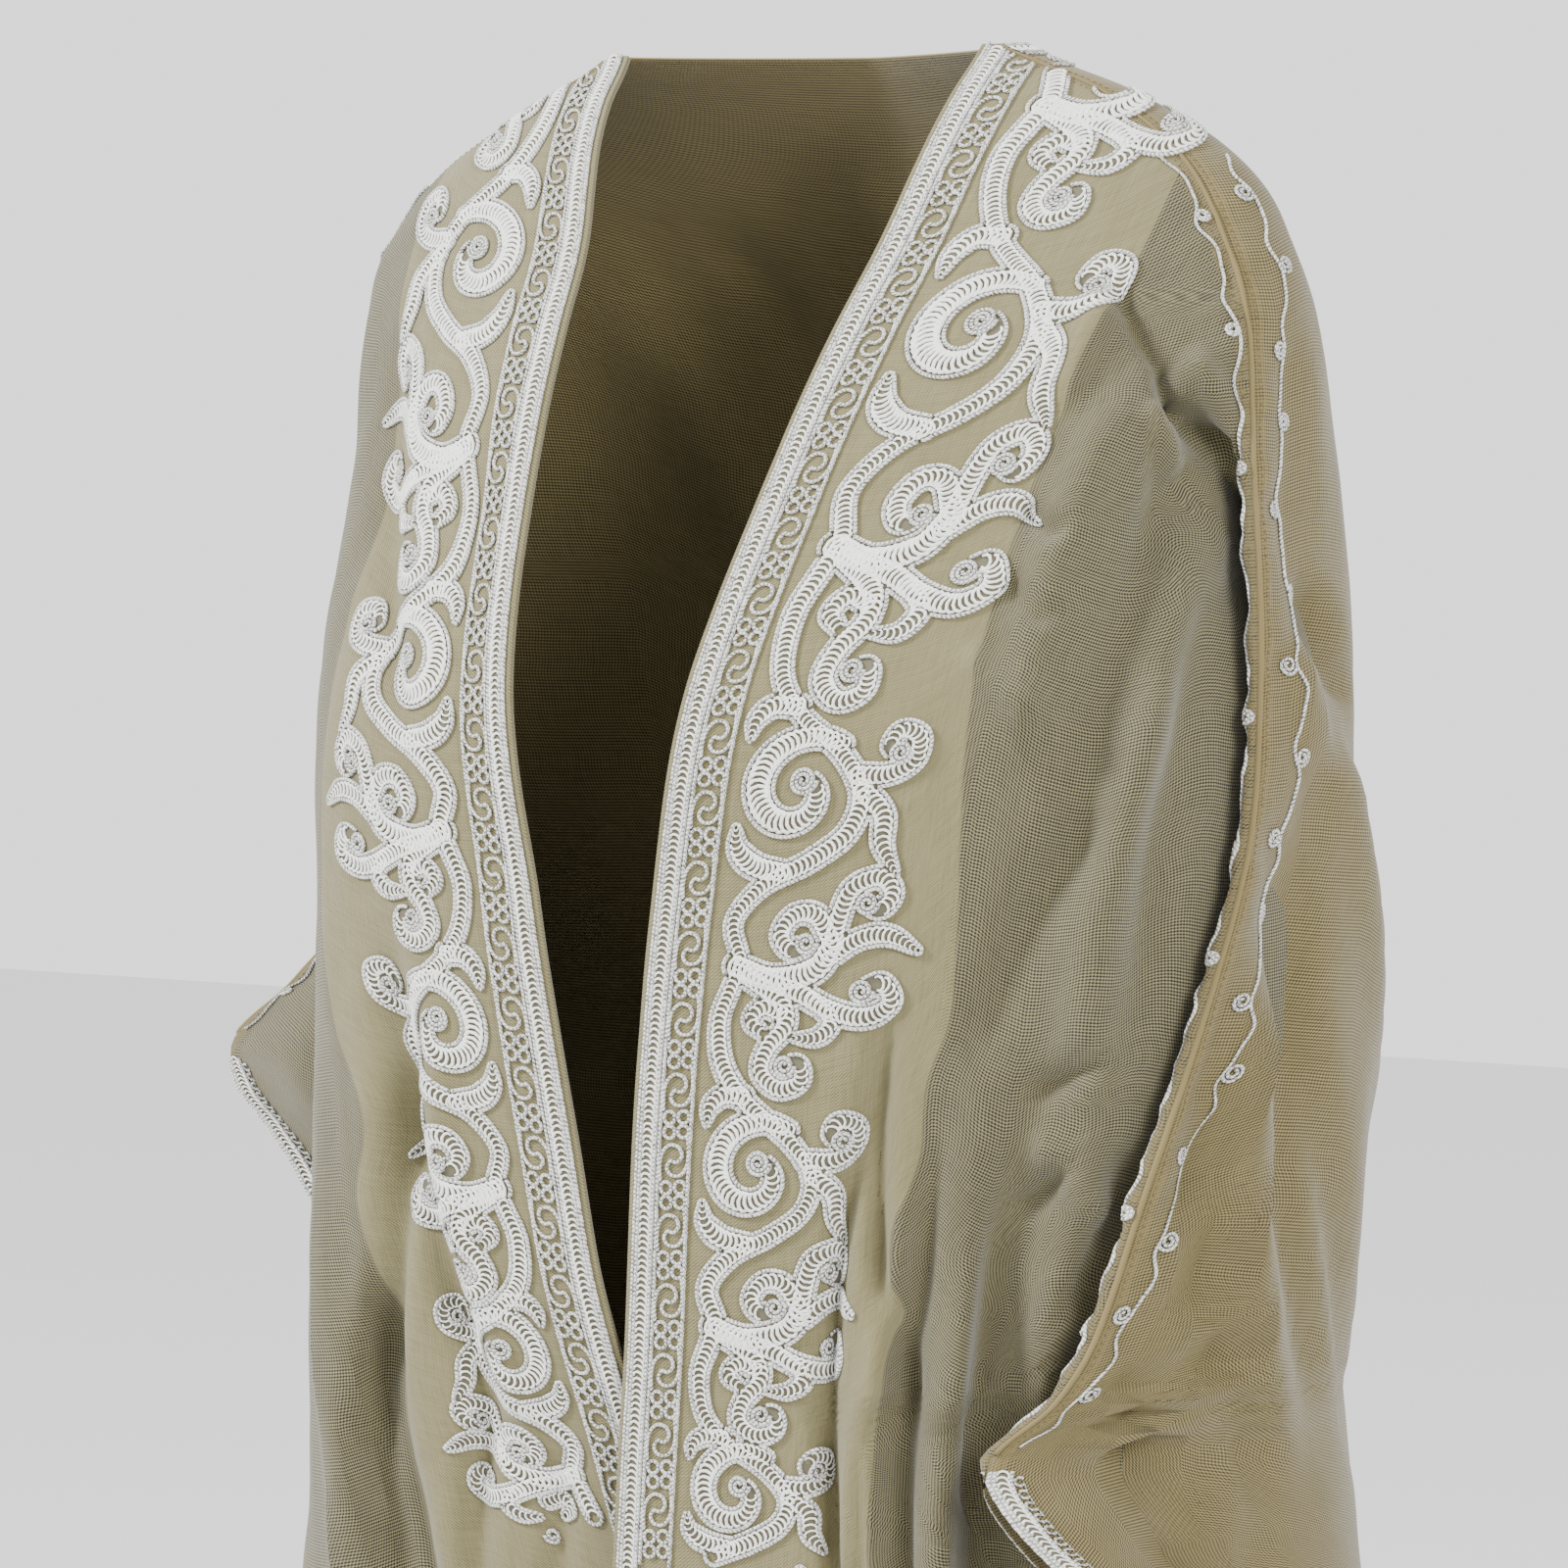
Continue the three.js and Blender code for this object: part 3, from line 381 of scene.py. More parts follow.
# %% Curves through the control points
def curve_through(controls, counts, before=None, after=None):
    """Rows of points on centripetal curves through their control points, so many to each span."""
    start = 2 * controls[0] - controls[1] if before is None else before
    end = 2 * controls[-1] - controls[-2] if after is None else after
    every = [start] + list(controls) + [end]
    columns = []
    for k, count in enumerate(counts):
        p0, p1, p2, p3 = every[k : k + 4]
        d0, d1, d2 = (np.maximum(1e-3, np.linalg.norm(b - a, axis=-1, keepdims=True)) ** 0.5
                      for a, b in ((p0, p1), (p1, p2), (p2, p3)))
        m1 = ((p1 - p0) / d0 - (p2 - p0) / (d0 + d1) + (p2 - p1) / d1) * d1
        m2 = ((p2 - p1) / d1 - (p3 - p1) / (d1 + d2) + (p3 - p2) / d2) * d1
        bend, twist = 3 * (p2 - p1) - 2 * m1 - m2, m1 + m2 - 2 * (p2 - p1)
        columns += [p1 + m1 * t + bend * t**2 + twist * t**3 for t in (n / count for n in range(count))]
    columns.append(controls[-1])
    return np.stack(columns, axis=1)


# %% [markdown]
# The cloth is a grid of points: a row for each height and a column for each place along the cloth. Rows are
# close together on the flat top of the shoulders, where a little height is a long way along the cloth, and
# wider apart down the skirt.

# %% The three panels as grids
FIRST_ROW, ROW_GROWTH = 1.2, 0.05
CREASED, EMBROIDERED_TO = (-90, -290), -700
CREASED_ROW, EMBROIDERED_ROW, PLAIN_ROW = 2.6, 4.2, 10.0


def heights():
    z, made = TOP, []
    while z > -LENGTH + 4:
        made.append(z)
        plain = EMBROIDERED_ROW if z > EMBROIDERED_TO else PLAIN_ROW
        largest = CREASED_ROW if CREASED[0] > z > CREASED[1] else plain
        z -= min(FIRST_ROW + ROW_GROWTH * (TOP - z), largest)
    return np.array(made + [-LENGTH])


Z = heights()
STRIP_COUNTS = [1, 4, 7, 7, 9, 8, 5, 6]
LEFT_COUNTS = STRIP_COUNTS + [12, 12, 9, 4, 4, 6, 7, 3, 2]
RIGHT_COUNTS = STRIP_COUNTS + [7, 7, 5, 4, 5, 5, 3]
BACK_COUNTS = [2, 4, 9, 9, 9, 10, 11, 12, 12, 11, 11, 9, 8, 6, 5, 3]

left_front, left_back = left_controls(Z)
right_front, right_back = right_controls(Z)
across_back = left_back + [on_figure(1, 180.0, Z)] + right_back[::-1]
GRID = {
    "front_left": curve_through(left_front, LEFT_COUNTS, after=left_back[1]),
    "front_right": curve_through(right_front, RIGHT_COUNTS, after=right_back[1]),
    "back": curve_through(across_back, BACK_COUNTS, before=left_front[-2], after=right_front[-2]),
}
for name, grid in GRID.items():
    longest = round(run_along(grid, 1)[:, -1].max())
    print(name, "rows and columns", grid.shape[:2], "longest row", longest, "mm")


# %% [markdown]
# Folds are laid on the grids by moving points along their own normals. A hanging fold follows its column down
# the cloth. A crease runs between two points seen from one side: the table gives its ends as the distance
# across and the height in that view, with its half width and its depth, and only cloth that faces the view
# takes it. Long soft noise on top keeps any stretch of cloth from being perfectly smooth.

# %% Hanging folds
def normals_of(grid, turn, before=None, after=None):
    """Outward unit normals of a grid, matched to its neighbours across the seams."""
    before = grid[:, :1] if before is None else before
    after = grid[:, -1:] if after is None else after
    padded = np.concatenate([before, grid, after], 1)
    across = padded[:, 2:] - padded[:, :-2]
    down = np.gradient(grid, axis=0)
    n = np.cross(down, across) * turn
    return n / np.maximum(1e-9, np.linalg.norm(n, axis=-1, keepdims=True))


TURN = {"front_left": 1, "front_right": -1, "back": 1}
FLAT_BY_SEAM, FOLD_FADE = 6, 34


def hang(name, grid):
    """The panel with its hanging folds, which die away towards its seams."""
    run = run_along(grid, 1)
    middle = sum(BACK_COUNTS[: len(left_back)])
    s = run[:, middle : middle + 1] - run if name == "back" else run
    to_seam = run[:, -1:] - run
    if name == "back":
        to_seam = np.minimum(to_seam, run)
    lift = np.zeros(grid.shape[:2])
    folds = FOLDS[name]
    for place, drift, width, rise, top, full in zip(*(folds[column] for column in FOLD_COLUMNS.split())):
        shape = np.exp(-(((s - (place - drift * Z[:, None] / 1000)) / width) ** 2))
        lift += rise * ramp(top, full, Z)[:, None] * shape
    flat = normals_of(grid, TURN[name])
    flat[..., 2] = 0
    flat /= np.maximum(1e-9, np.linalg.norm(flat, axis=-1, keepdims=True))
    return grid + flat * (lift * smooth((to_seam - FLAT_BY_SEAM) / FOLD_FADE))[..., None]


# %% Creases
# Each row: view, across and z at one end, across and z at the other, half width, depth.
CREASES = {
    "front_left": [
        (30, 132, -112, 151, -146, 4.5, -7),
        (30, 149, -144, 156, -166, 4.5, -9),
        (30, 154, -160, 186, -186, 5, -9),
        (30, 184, -182, 202, -212, 7, -5),
        (30, 160, -140, 190, -168, 7, 6),
        (30, 144, -160, 158, -188, 6, 5),
        (30, 126, -118, 108, -160, 7, 5),
        (30, 133, -156, 87, -299, 12, 7),
        (30, 159, -181, 113, -358, 12, -8),
        (30, 150, -274, 113, -442, 11, 7),
        (30, 178, -230, 140, -420, 12, -6),
        (30, 120, -330, 70, -430, 10, -6),
        (30, 89, -202, 106, -216, 5, -6),
        (30, 83, -232, 100, -252, 5, -5),
        (30, 66, -262, 96, -290, 6, 4),
        (30, 92, -446, 121, -429, 5, -6),
        (30, 87, -496, 108, -475, 5, -6),
        (30, 96, -462, 128, -500, 7, 5),
        (30, 110, -540, 135, -470, 8, -5),
        (30, 22, -455, 18, -700, 5, -9),
        (30, 32, -420, 41, -575, 5, -8),
        (30, 26, -560, 30, -760, 5, 7),
        (30, 40, -500, 44, -740, 6, 8),
        (30, 54, -470, 50, -760, 6, -7),
        (30, 68, -520, 66, -780, 7, 8),
        (30, 84, -480, 88, -760, 8, -8),
        (30, 104, -520, 110, -780, 8, 7),
        (30, 118, -560, 124, -780, 7, -7),
    ],
    "front_right": [
        (30, -172, -440, -172, -760, 8, -13),
        (30, -184, -400, -138, -590, 9, -9),
        (30, -138, -590, -136, -760, 8, -9),
        (30, -160, -430, -120, -600, 9, 7),
        (30, -188, -520, -190, -760, 7, 7),
        (30, -150, -180, -125, -380, 14, -7),
        (30, -120, -120, -100, -330, 12, 5),
        (30, -186, -130, -178, -300, 10, -8),
        (30, -104, -610, -96, -760, 7, -6),
    ],
    "back": [
        (30, 214, -236, 238, -290, 6, -8),
        (30, 208, -262, 226, -330, 7, 5),
        (30, 171, -380, 172, -560, 10, -9),
        (30, 195, -400, 196, -610, 10, 7),
        (30, 214, -360, 222, -600, 9, -7),
        (30, 132, -560, 166, -650, 6, -11),
        (30, 120, -565, 150, -660, 6, 6),
        (30, 150, -500, 190, -640, 8, 6),
        (30, 205, -130, 222, -230, 10, -5),
        (30, 222, -300, 205, -520, 9, -5),
        (30, 184, -560, 204, -700, 8, -7),
        (30, 136, -585, 160, -720, 8, -9),
        (30, 172, -540, 178, -720, 9, -8),
        (30, 188, -420, 182, -560, 8, 6),
        (90, -40, -180, 30, -330, 14, -5),
        (90, 0, -260, 70, -520, 16, 5),
        (90, -60, -330, 20, -600, 14, -6),
        (180, -150, -100, -60, -330, 18, -6),
        (180, 150, -110, 50, -360, 20, -6),
        (180, -90, -70, -30, -190, 14, 4),
        (180, 100, -80, 40, -210, 13, 4),
        (-90, 40, -150, -30, -400, 16, -6),
        (-90, -60, -200, -20, -520, 15, 5),
        (-90, 70, -260, 20, -560, 14, -5),
    ],
}


DEEPER = {"front_left": 1.3, "front_right": 1.1, "back": 1.4}
BOW = 0.05  # how far a crease bows aside, as a share of its length
CREASE_FADE = 0.3  # how softly it ends, as a share of its length
TURNED_AWAY = 0.05  # how little a place may face the view before it loses the crease


def crease(name, grid, normals):
    """How far each point moves for the creases that its side of the cloth shows."""
    lift = np.zeros(grid.shape[:2])
    for view, a0, z0, a1, z1, width, depth in CREASES[name]:
        a = math.radians(view)
        across = grid[..., 0] * math.cos(a) + grid[..., 1] * math.sin(a)
        facing = normals[..., 0] * math.sin(a) - normals[..., 1] * math.cos(a)
        px, pz = across - a0, grid[..., 2] - z0
        dx, dz = a1 - a0, z1 - z0
        long = math.hypot(dx, dz)
        along = (px * dx + pz * dz) / long**2
        off = (px * dz - pz * dx) / long
        bow = BOW * long * np.sin(np.pi * np.clip(along, 0, 1))
        fade = smooth((along + 0.12) / CREASE_FADE) * smooth((1.12 - along) / CREASE_FADE)
        shape = np.exp(-(((off - bow) / width) ** 2)) * fade * smooth((facing - TURNED_AWAY) / 0.3)
        lift += DEEPER[name] * depth * shape
    return lift


# %% Unevenness and puckers
# Each row: how wide and how long a wave of the unevenness is, and its rise.
RUMPLES = ((46, 150, 2.6), (17, 40, 1.0))
PUCKER, PUCKER_FROM_SEAM, PUCKER_WIDTH, PUCKER_LENGTH = 1.5, 9, 6.5, 11.0


def rumple(grid, seed):
    """Long soft unevenness, stretched down the cloth."""

    def rise(x, y, z):
        places = ((Vector((x / wide + seed, y / wide, z / long)), high) for wide, long, high in RUMPLES)
        return sum(high * noise.noise(place) for place, high in places)

    return np.array([[rise(*point) for point in row] for row in grid])


def puckers(grid, edge, seed):
    """Short drawn-up waves beside a seam."""
    shape = np.exp(-(((edge - PUCKER_FROM_SEAM) / PUCKER_WIDTH) ** 2)) * smooth(edge / 4)
    size = PUCKER * shape * smooth((-40 - grid[..., 2]) / 60)
    waves = np.array([noise.noise(Vector((seed, z / PUCKER_LENGTH, 0.3))) for z in grid[:, 0, 2]])
    return size * waves[:, None] * 2.0


# The shoulders and the stiff strips are smoother than the rest, and nothing moves at a seam.
STRIP_ROUGHNESS = 0.35
for seed, name in enumerate(GRID):
    hung = hang(name, GRID[name])
    run = run_along(hung, 1)
    edge = np.minimum(run[:, -1:] - run, run if name == "back" else 1e9)
    normals = normals_of(hung, TURN[name])
    lift = crease(name, hung, normals) + rumple(hung, 3.7 * seed) * smooth((-Z[:, None] - 20) / 60)
    if name != "back":
        lift *= STRIP_ROUGHNESS + (1 - STRIP_ROUGHNESS) * smooth((run - 8) / 90)
    lift = lift * smooth((edge - 2) / 22) + puckers(hung, edge, 5.1 + seed)
    GRID[name] = hung + normals * lift[..., None]

NORMAL = {
    "front_left": normals_of(GRID["front_left"], 1, after=GRID["back"][:, 1:2]),
    "front_right": normals_of(GRID["front_right"], -1, after=GRID["back"][:, -2:-1]),
    "back": normals_of(GRID["back"], 1, GRID["front_left"][:, -2:-1], GRID["front_right"][:, -2:-1]),
}

# %% [markdown]
# Next the finishes. A small class wraps a node's output so that shader maths can be written as ordinary
# expressions, and one method makes every other kind of node.


# %% Shader maths
class Wire:
    """An output socket in a material's tree, with operators that add Math nodes."""

    def __init__(self, tree, socket):
        self.tree, self.socket = tree, socket

    def plug(self, value, slot):
        if isinstance(value, Wire):
            self.tree.links.new(value.socket, slot)
        else:
            slot.default_value = value

    def node(self, kind, settings=None, output=0, **inputs):
        """A new node. An input is given by its name, or by _ and its number."""
        made = self.tree.nodes.new(kind)
        for key, value in (settings or {}).items():
            setattr(made, key, value)
        for key, value in inputs.items():
            numbered = key[0] == "_" and key[1:].isdigit()
            self.plug(value, made.inputs[int(key[1:]) if numbered else key.replace("_", " ")])
        return Wire(self.tree, made.outputs[output])

    def math(self, operation, *others):
        inputs = {f"_{k}": v for k, v in enumerate((self,) + others)}
        return self.node("ShaderNodeMath", {"operation": operation}, **inputs)

    def __add__(self, other):
        return self.math("ADD", other)

    __radd__ = __add__

    def __sub__(self, other):
        return self.math("SUBTRACT", other)

    def __rsub__(self, other):
        return (self * -1.0) + other

    def __mul__(self, other):
        return self.math("MULTIPLY", other)

    __rmul__ = __mul__

    def wave(self, length):
        """A wave from 0 to 1 that repeats at this length."""
        return (self * (2 * math.pi / length)).math("COSINE") * 0.5 + 0.5

    def clamp01(self, low, high):
        """0 below low, 1 above high, and smooth between."""
        settings = {"interpolation_type": "SMOOTHSTEP"}
        return self.node("ShaderNodeMapRange", settings, _0=self, _1=low, _2=high, _3=0.0, _4=1.0)

    def mix_colour(self, a, b):
        return self.node("ShaderNodeMix", {"data_type": "RGBA"}, 2, _0=self, _6=a, _7=b)

    def noise(self, vector, scale, detail, **settings):
        return self.node("ShaderNodeTexNoise", settings, 0, Vector=vector, Scale=scale, Detail=detail)


def srgb(r, g, b):
    """A colour given as seen, turned into the linear values that shaders work in."""
    linear = [((c / 255 + 0.055) / 1.055) ** 2.4 if c > 10 else c / 255 / 12.92 for c in (r, g, b)]
    return (*linear, 1.0)


def new_material(name, roughness, sheen=0.0):
    material = bpy.data.materials.new(name)
    material.use_nodes = True
    tree = material.node_tree
    shader = tree.nodes["Principled BSDF"]
    shader.inputs["Roughness"].default_value = roughness
    shader.inputs["Specular IOR Level"].default_value = 0.25
    shader.inputs["Sheen Weight"].default_value = sheen
    shader.inputs["Sheen Roughness"].default_value = 0.5
    return material, tree, shader


def attribute(tree, name):
    node = tree.nodes.new("ShaderNodeAttribute")
    node.attribute_name = name
    return Wire(tree, node.outputs["Fac"])


def uv(tree):
    node = tree.nodes.new("ShaderNodeTexCoord")
    split = tree.nodes.new("ShaderNodeSeparateXYZ")
    tree.links.new(node.outputs["UV"], split.inputs[0])
    return Wire(tree, split.outputs[0]), Wire(tree, split.outputs[1])


def connect(tree, wire, shader, name):
    tree.links.new(wire.socket, shader.inputs[name])


def bump(tree, height, shader, strength, distance):
    made = height.node("ShaderNodeBump", Strength=strength, Distance=distance, Height=height)
    connect(tree, made, shader, "Normal")


# %% [markdown]
# Wool gauze is an open weave. Where a second layer lies behind it, as over the facing, it looks light and
# close; where only the cloak's shaded inside is behind it, the gaps between the threads hold painted shade,
# as the cloth itself is opaque. The UV map is in metres along the cloth, so one thread can be given its real
# spacing.


# %% Gauze
THREADS, TWILL = 1.45 * MM, 1.6 * MM
SLUBS = ((900.0, 60.0), (50.0, 700.0))  # how fine the thread's thick places are, across and down
SEAM_EDGE = (7.0, 8.5)  # how far the doubled cloth of a seam reaches, and where it has ended
SEAM_CLOTH = srgb(100, 87, 52)


def gauze(name, thread, gap, backed=None):
    """Open weave. backed has its two colours where the facing lies behind it, inside the facing's edge."""
    material, tree, shader = new_material(name, 0.8, 0.2)
    u, v = uv(tree)
    over = (v.wave(THREADS) * 0.6 + u.wave(THREADS) * 0.5).clamp01(0.34, 0.74)
    slubs = [u.noise(u.node("ShaderNodeCombineXYZ", X=u * x, Y=v * y), 1.0, 2.0) for x, y in SLUBS]
    uneven = (slubs[0] + slubs[1]) * 0.5
    # gap is painted shade: the dark of the shaded space behind the open weave, seen between the threads.
    colour = (over * 0.8 + uneven * 0.7 - 0.25).clamp01(0.0, 0.95).mix_colour(gap, thread)
    if backed:
        light, line = backed
        inside = attribute(tree, "inside").clamp01(-0.8, 1.2)
        twill = (u * 0.8 + v).wave(TWILL)
        close = (twill * 0.6 + uneven * 1.0 - 0.2).clamp01(0.0, 1.0).mix_colour(line, light)
        colour = inside.mix_colour(colour, close)
    doubled = 1 - attribute(tree, "seam").clamp01(*SEAM_EDGE)
    rib = (doubled * uneven).clamp01(0.3, 0.75)
    connect(tree, rib.mix_colour(colour, SEAM_CLOTH), shader, "Base Color")
    bump(tree, over + uneven * 0.8, shader, 0.5, 0.0005)
    return material


OVER_FACING = (srgb(115, 109, 78), srgb(74, 67, 39))
# In each gauze below, the second colour is the painted shade that shows in the gaps between the threads.
GAUZE_FRONT = gauze("gauze over the fronts", srgb(105, 99, 70), srgb(15, 12, 5), OVER_FACING)
GAUZE_BACK = gauze("gauze of the back", srgb(113, 103, 66), srgb(48, 39, 18))
FACING_CLOTH = gauze("facing cloth", srgb(106, 98, 68), srgb(72, 64, 38))
CORD_LAY = 1.9 * MM  # how far along a cord its twist goes once round


def cord_white():
    """Twisted cotton: stripes wind round each cord, with painted shade in the grooves of the twist and in a
    mottle of small hollow places.
    """
    material, tree, shader = new_material("white cord", 0.62, 0.1)
    along, round_ = attribute(tree, "along"), attribute(tree, "round")
    twist = (along + round_ * CORD_LAY).wave(CORD_LAY)
    grain = along.node("ShaderNodeTexCoord", None, "Object")
    fine, shaded_hollows = along.noise(grain, 1100.0, 2.0), along.noise(grain, 430.0, 1.0)
    # The dark end of this mix is painted shade: it greys the twist's grooves and the mottled hollow places,
    # standing in for the shadows of the cord's relief. The fine noise is the cotton's own uneven tone.
    shade = (twist * 0.5 + fine * 0.45 + shaded_hollows * 0.9 - 0.28).clamp01(0.2, 0.85)
    connect(tree, shade.mix_colour(srgb(98, 96, 86), srgb(212, 212, 208)), shader, "Base Color")
    bump(tree, twist + fine * 0.5 + shaded_hollows, shader, 0.9, 0.0008)
    return material


CORD = cord_white()
# The padding is a low ground under the stitches. Its dark colour is partly the cloth showing between the
# stitches and partly painted shade for the shadows in those gaps.
SHADED_PADDING, _, shaded_padding_shader = new_material("padding under the stitches, with painted shade", 0.85)
shaded_padding_shader.inputs["Base Color"].default_value = srgb(88, 84, 68)
STITCHED = gauze("stitched seam cloth", srgb(104, 91, 56), srgb(62, 51, 27))
print("finishes:", [m.name for m in (GAUZE_FRONT, GAUZE_BACK, FACING_CLOTH, CORD, SHADED_PADDING, STITCHED)])

# %% [markdown]
# A panel becomes a thin closed shell: its grid moved out by half the cloth's thickness, the same grid moved
# in, and a rim that joins them. A UV map in metres goes with it, and each point of the gauze knows how far it
# lies from the seam and from the facing's edge.


# %% Cloth shells
CLOTH = 0.9


def in_scene(name, data):
    """A new object, linked to the scene."""
    made = bpy.data.objects.new(name, data)
    bpy.context.scene.collection.objects.link(made)
    return made


def new_mesh(name, points, edges, faces):
    mesh = bpy.data.meshes.new(name)
    mesh.from_pydata([tuple(p) for p in points], edges, faces)
    mesh.update()
    return mesh


def mesh_object(name, vertices, faces, material):
    """A smooth shaded object from vertices in millimetres."""
    mesh = new_mesh(name, np.asarray(vertices) * MM, [], faces)
    mesh.materials.append(material)
    mesh.polygons.foreach_set("use_smooth", [True] * len(mesh.polygons))
    mesh.update()
    return in_scene(name, mesh)


def store(mesh, label, values, kind="FLOAT"):
    """Values for a mesh's points, as an attribute that materials and nodes can read."""
    data = mesh.attributes.new(label, kind, "POINT")
    data.data.foreach_set("value" if kind == "FLOAT" else "vector", np.ravel(values))


def quads_of(index):
    """The four corners of each cell of a grid of vertex numbers."""
    corners = [index[:-1, :-1], index[:-1, 1:], index[1:, 1:], index[1:, :-1]]
    return np.stack(corners, axis=-1).reshape(-1, 4)


def shell(name, grid, normals, low, high, material, **facts):
    """A closed wall between two distances from a grid."""
    rows, columns = grid.shape[:2]
    outer, inner = grid + normals * high, grid + normals * low
    vertices = np.concatenate([outer.reshape(-1, 3), inner.reshape(-1, 3)])
    index = np.arange(rows * columns).reshape(rows, columns)
    front = quads_of(index)
    back = front[:, ::-1] + rows * columns
    loop = np.concatenate([index[0, :-1], index[:-1, -1], index[-1, :0:-1], index[:0:-1, 0]])
    after = np.roll(loop, -1)
    rim = np.stack([loop, loop + rows * columns, after + rows * columns, after], axis=-1)
    faces = np.concatenate([front, back, rim])
    # The middle face's own normal says whether the whole shell has to be turned.
    middle = front[len(front) // 2]
    p = vertices[middle]
    if np.dot(np.cross(p[1] - p[0], p[2] - p[0]), normals.reshape(-1, 3)[middle[0]]) < 0:
        faces = faces[:, ::-1]
    made = mesh_object(name, vertices, faces.tolist(), material)
    u, v = run_along(grid, 1) * MM, run_along(grid, 0) * MM
    flat = np.stack([np.tile(u.ravel(), 2), np.tile(v.ravel(), 2)], axis=-1)
    layer = made.data.uv_layers.new(name="UVMap")
    corner = np.empty(len(made.data.loops), int)
    made.data.loops.foreach_get("vertex_index", corner)
    layer.data.foreach_set("uv", flat[corner].ravel())
    for label, values in facts.items():
        store(made.data, label, np.tile(np.broadcast_to(values, (rows, columns)).ravel(), 2))
    return made


def spread(grid, normals, distances):
    """Points at these distances along each row, with their normals. Rows share a list or have one each."""
    run = run_along(grid, 1)
    distances = np.broadcast_to(distances, (len(grid), np.shape(distances)[-1]))

    def pick(rows):
        return np.stack([
            np.stack([np.interp(d, r, row[:, k]) for k in range(3)], axis=-1)
            for d, r, row in zip(distances, run, rows)
        ])

    return pick(grid), pick(normals)


RUN = {name: run_along(grid, 1) for name, grid in GRID.items()}
TO_SEAM = {name: run[:, -1:] - run for name, run in RUN.items()}
TO_SEAM["back"] = np.minimum(TO_SEAM["back"], RUN["back"])
# The facing narrows towards the shoulder, and near the neck it stops at the seam.
FACING_AT_NECK = 118
WIDENS_FROM, WIDENS_OVER = -180, 240
WIDEST = FACING_AT_NECK + (FACING_WIDTH - FACING_AT_NECK) * smooth((WIDENS_FROM - Z) / WIDENS_OVER)
FACING_INSIDE = (-2.0, -0.8)  # where the facing lies, from the middle of the gauze
HALF = CLOTH / 2
FRONTS, FACINGS = {}, {}
for side in SIDES:
    name = "front_" + side
    grid, normals, run = GRID[name], NORMAL[name], RUN[name]
    edge = np.minimum(WIDEST, run[:, -1] - 2.5)[:, None]
    facts = {"inside": edge - run, "seam": TO_SEAM[name]}
    FRONTS[side] = shell("gauze_" + name, grid, normals, -HALF, HALF, GAUZE_FRONT, **facts)
    inner = spread(grid, normals, edge * np.linspace(0.002, 1, 34))
    FACINGS[side] = shell("facing_strip_" + side, *inner, *FACING_INSIDE, FACING_CLOTH, seam=99.0)
BACK = shell("gauze_back", GRID["back"], NORMAL["back"], -HALF, HALF, GAUZE_BACK, seam=TO_SEAM["back"])
for piece in (*FRONTS.values(), BACK):
    print(piece.name, "area of one face", round(sum(p.area for p in piece.data.polygons) / 2, 3), "m2")

# %% [markdown]
# Cord and stitches are drawn flat first, in millimetres: x is the distance across from the front edge, y the
# distance down it, and z the height above the cloth. Geometry Nodes sweep the drawn lines into cords and set
# a chain stitch on each marked point. The flat work is then laid on the panel: each vertex finds its place on
# the grid and rises along the normal there, so the embroidery follows every fold.


# %% Geometry Nodes for cords
def new_tree(name, **inputs):
    """A Geometry Nodes tree, its inputs by name, and a function that finishes it in the cord's material."""
    tree = bpy.data.node_groups.new(name, "GeometryNodeTree")
    tree.interface.new_socket("Geometry", in_out="OUTPUT", socket_type="NodeSocketGeometry")
    for label, kind in {"Geometry": "Geometry", **inputs}.items():
        tree.interface.new_socket(label, in_out="INPUT", socket_type="NodeSocket" + kind)
    start, end = tree.nodes.new("NodeGroupInput"), tree.nodes.new("NodeGroupOutput")

    def finish(geometry):
        real = geometry.node("GeometryNodeRealizeInstances", Geometry=geometry)
        painted = real.node("GeometryNodeSetMaterial", Geometry=real, Material=CORD)
        tree.links.new(painted.socket, end.inputs["Geometry"])
        return tree

    return {label: Wire(tree, start.outputs[label]) for label in ("Geometry", *inputs)}, finish


def cord_tree():
    """Lines swept into round cords, with the distance along and the share of a turn round kept."""
    given, finish = new_tree("Swept cord", Sides="Int", Radius="Float")
    line = given["Geometry"].node("GeometryNodeMeshToCurve", Mesh=given["Geometry"])
    circle = line.node("GeometryNodeCurvePrimitiveCircle", Resolution=given["Sides"], Radius=given["Radius"])

    def marked(geometry, label, value):
        kind = {"data_type": "FLOAT", "domain": "POINT"}
        return line.node("GeometryNodeStoreNamedAttribute", kind, Geometry=geometry, Name=label, Value=value)

    along = line.node("GeometryNodeSplineParameter", None, "Length") * MM
    share = line.node("GeometryNodeSplineParameter", None, "Factor")
    path, profile = marked(line, "along", along), marked(circle, "round", share)
    return finish(line.node("GeometryNodeCurveToMesh", Curve=path, Profile_Curve=profile, Fill_Caps=True))


def stitch_tree():
    """A chain stitch on each point, turned and sized by the point's own attributes."""
    given, finish = new_tree("Chain stitches", Stitch="Object")
    points = given["Geometry"]
    stitch = points.node("GeometryNodeObjectInfo", None, "Geometry", Object=given["Stitch"])
    turn, size = (
        points.node("GeometryNodeInputNamedAttribute", {"data_type": "FLOAT_VECTOR"}, Name=label)
        for label in ("turn", "size")
    )
    facts = {"Points": points, "Instance": stitch, "Rotation": turn, "Scale": size}
    return finish(points.node("GeometryNodeInstanceOnPoints", **facts))


CORD_TREE, STITCH_TREE = cord_tree(), stitch_tree()
for tree in (CORD_TREE, STITCH_TREE):
    print("tree:", tree.name, "with", len(tree.nodes), "nodes")


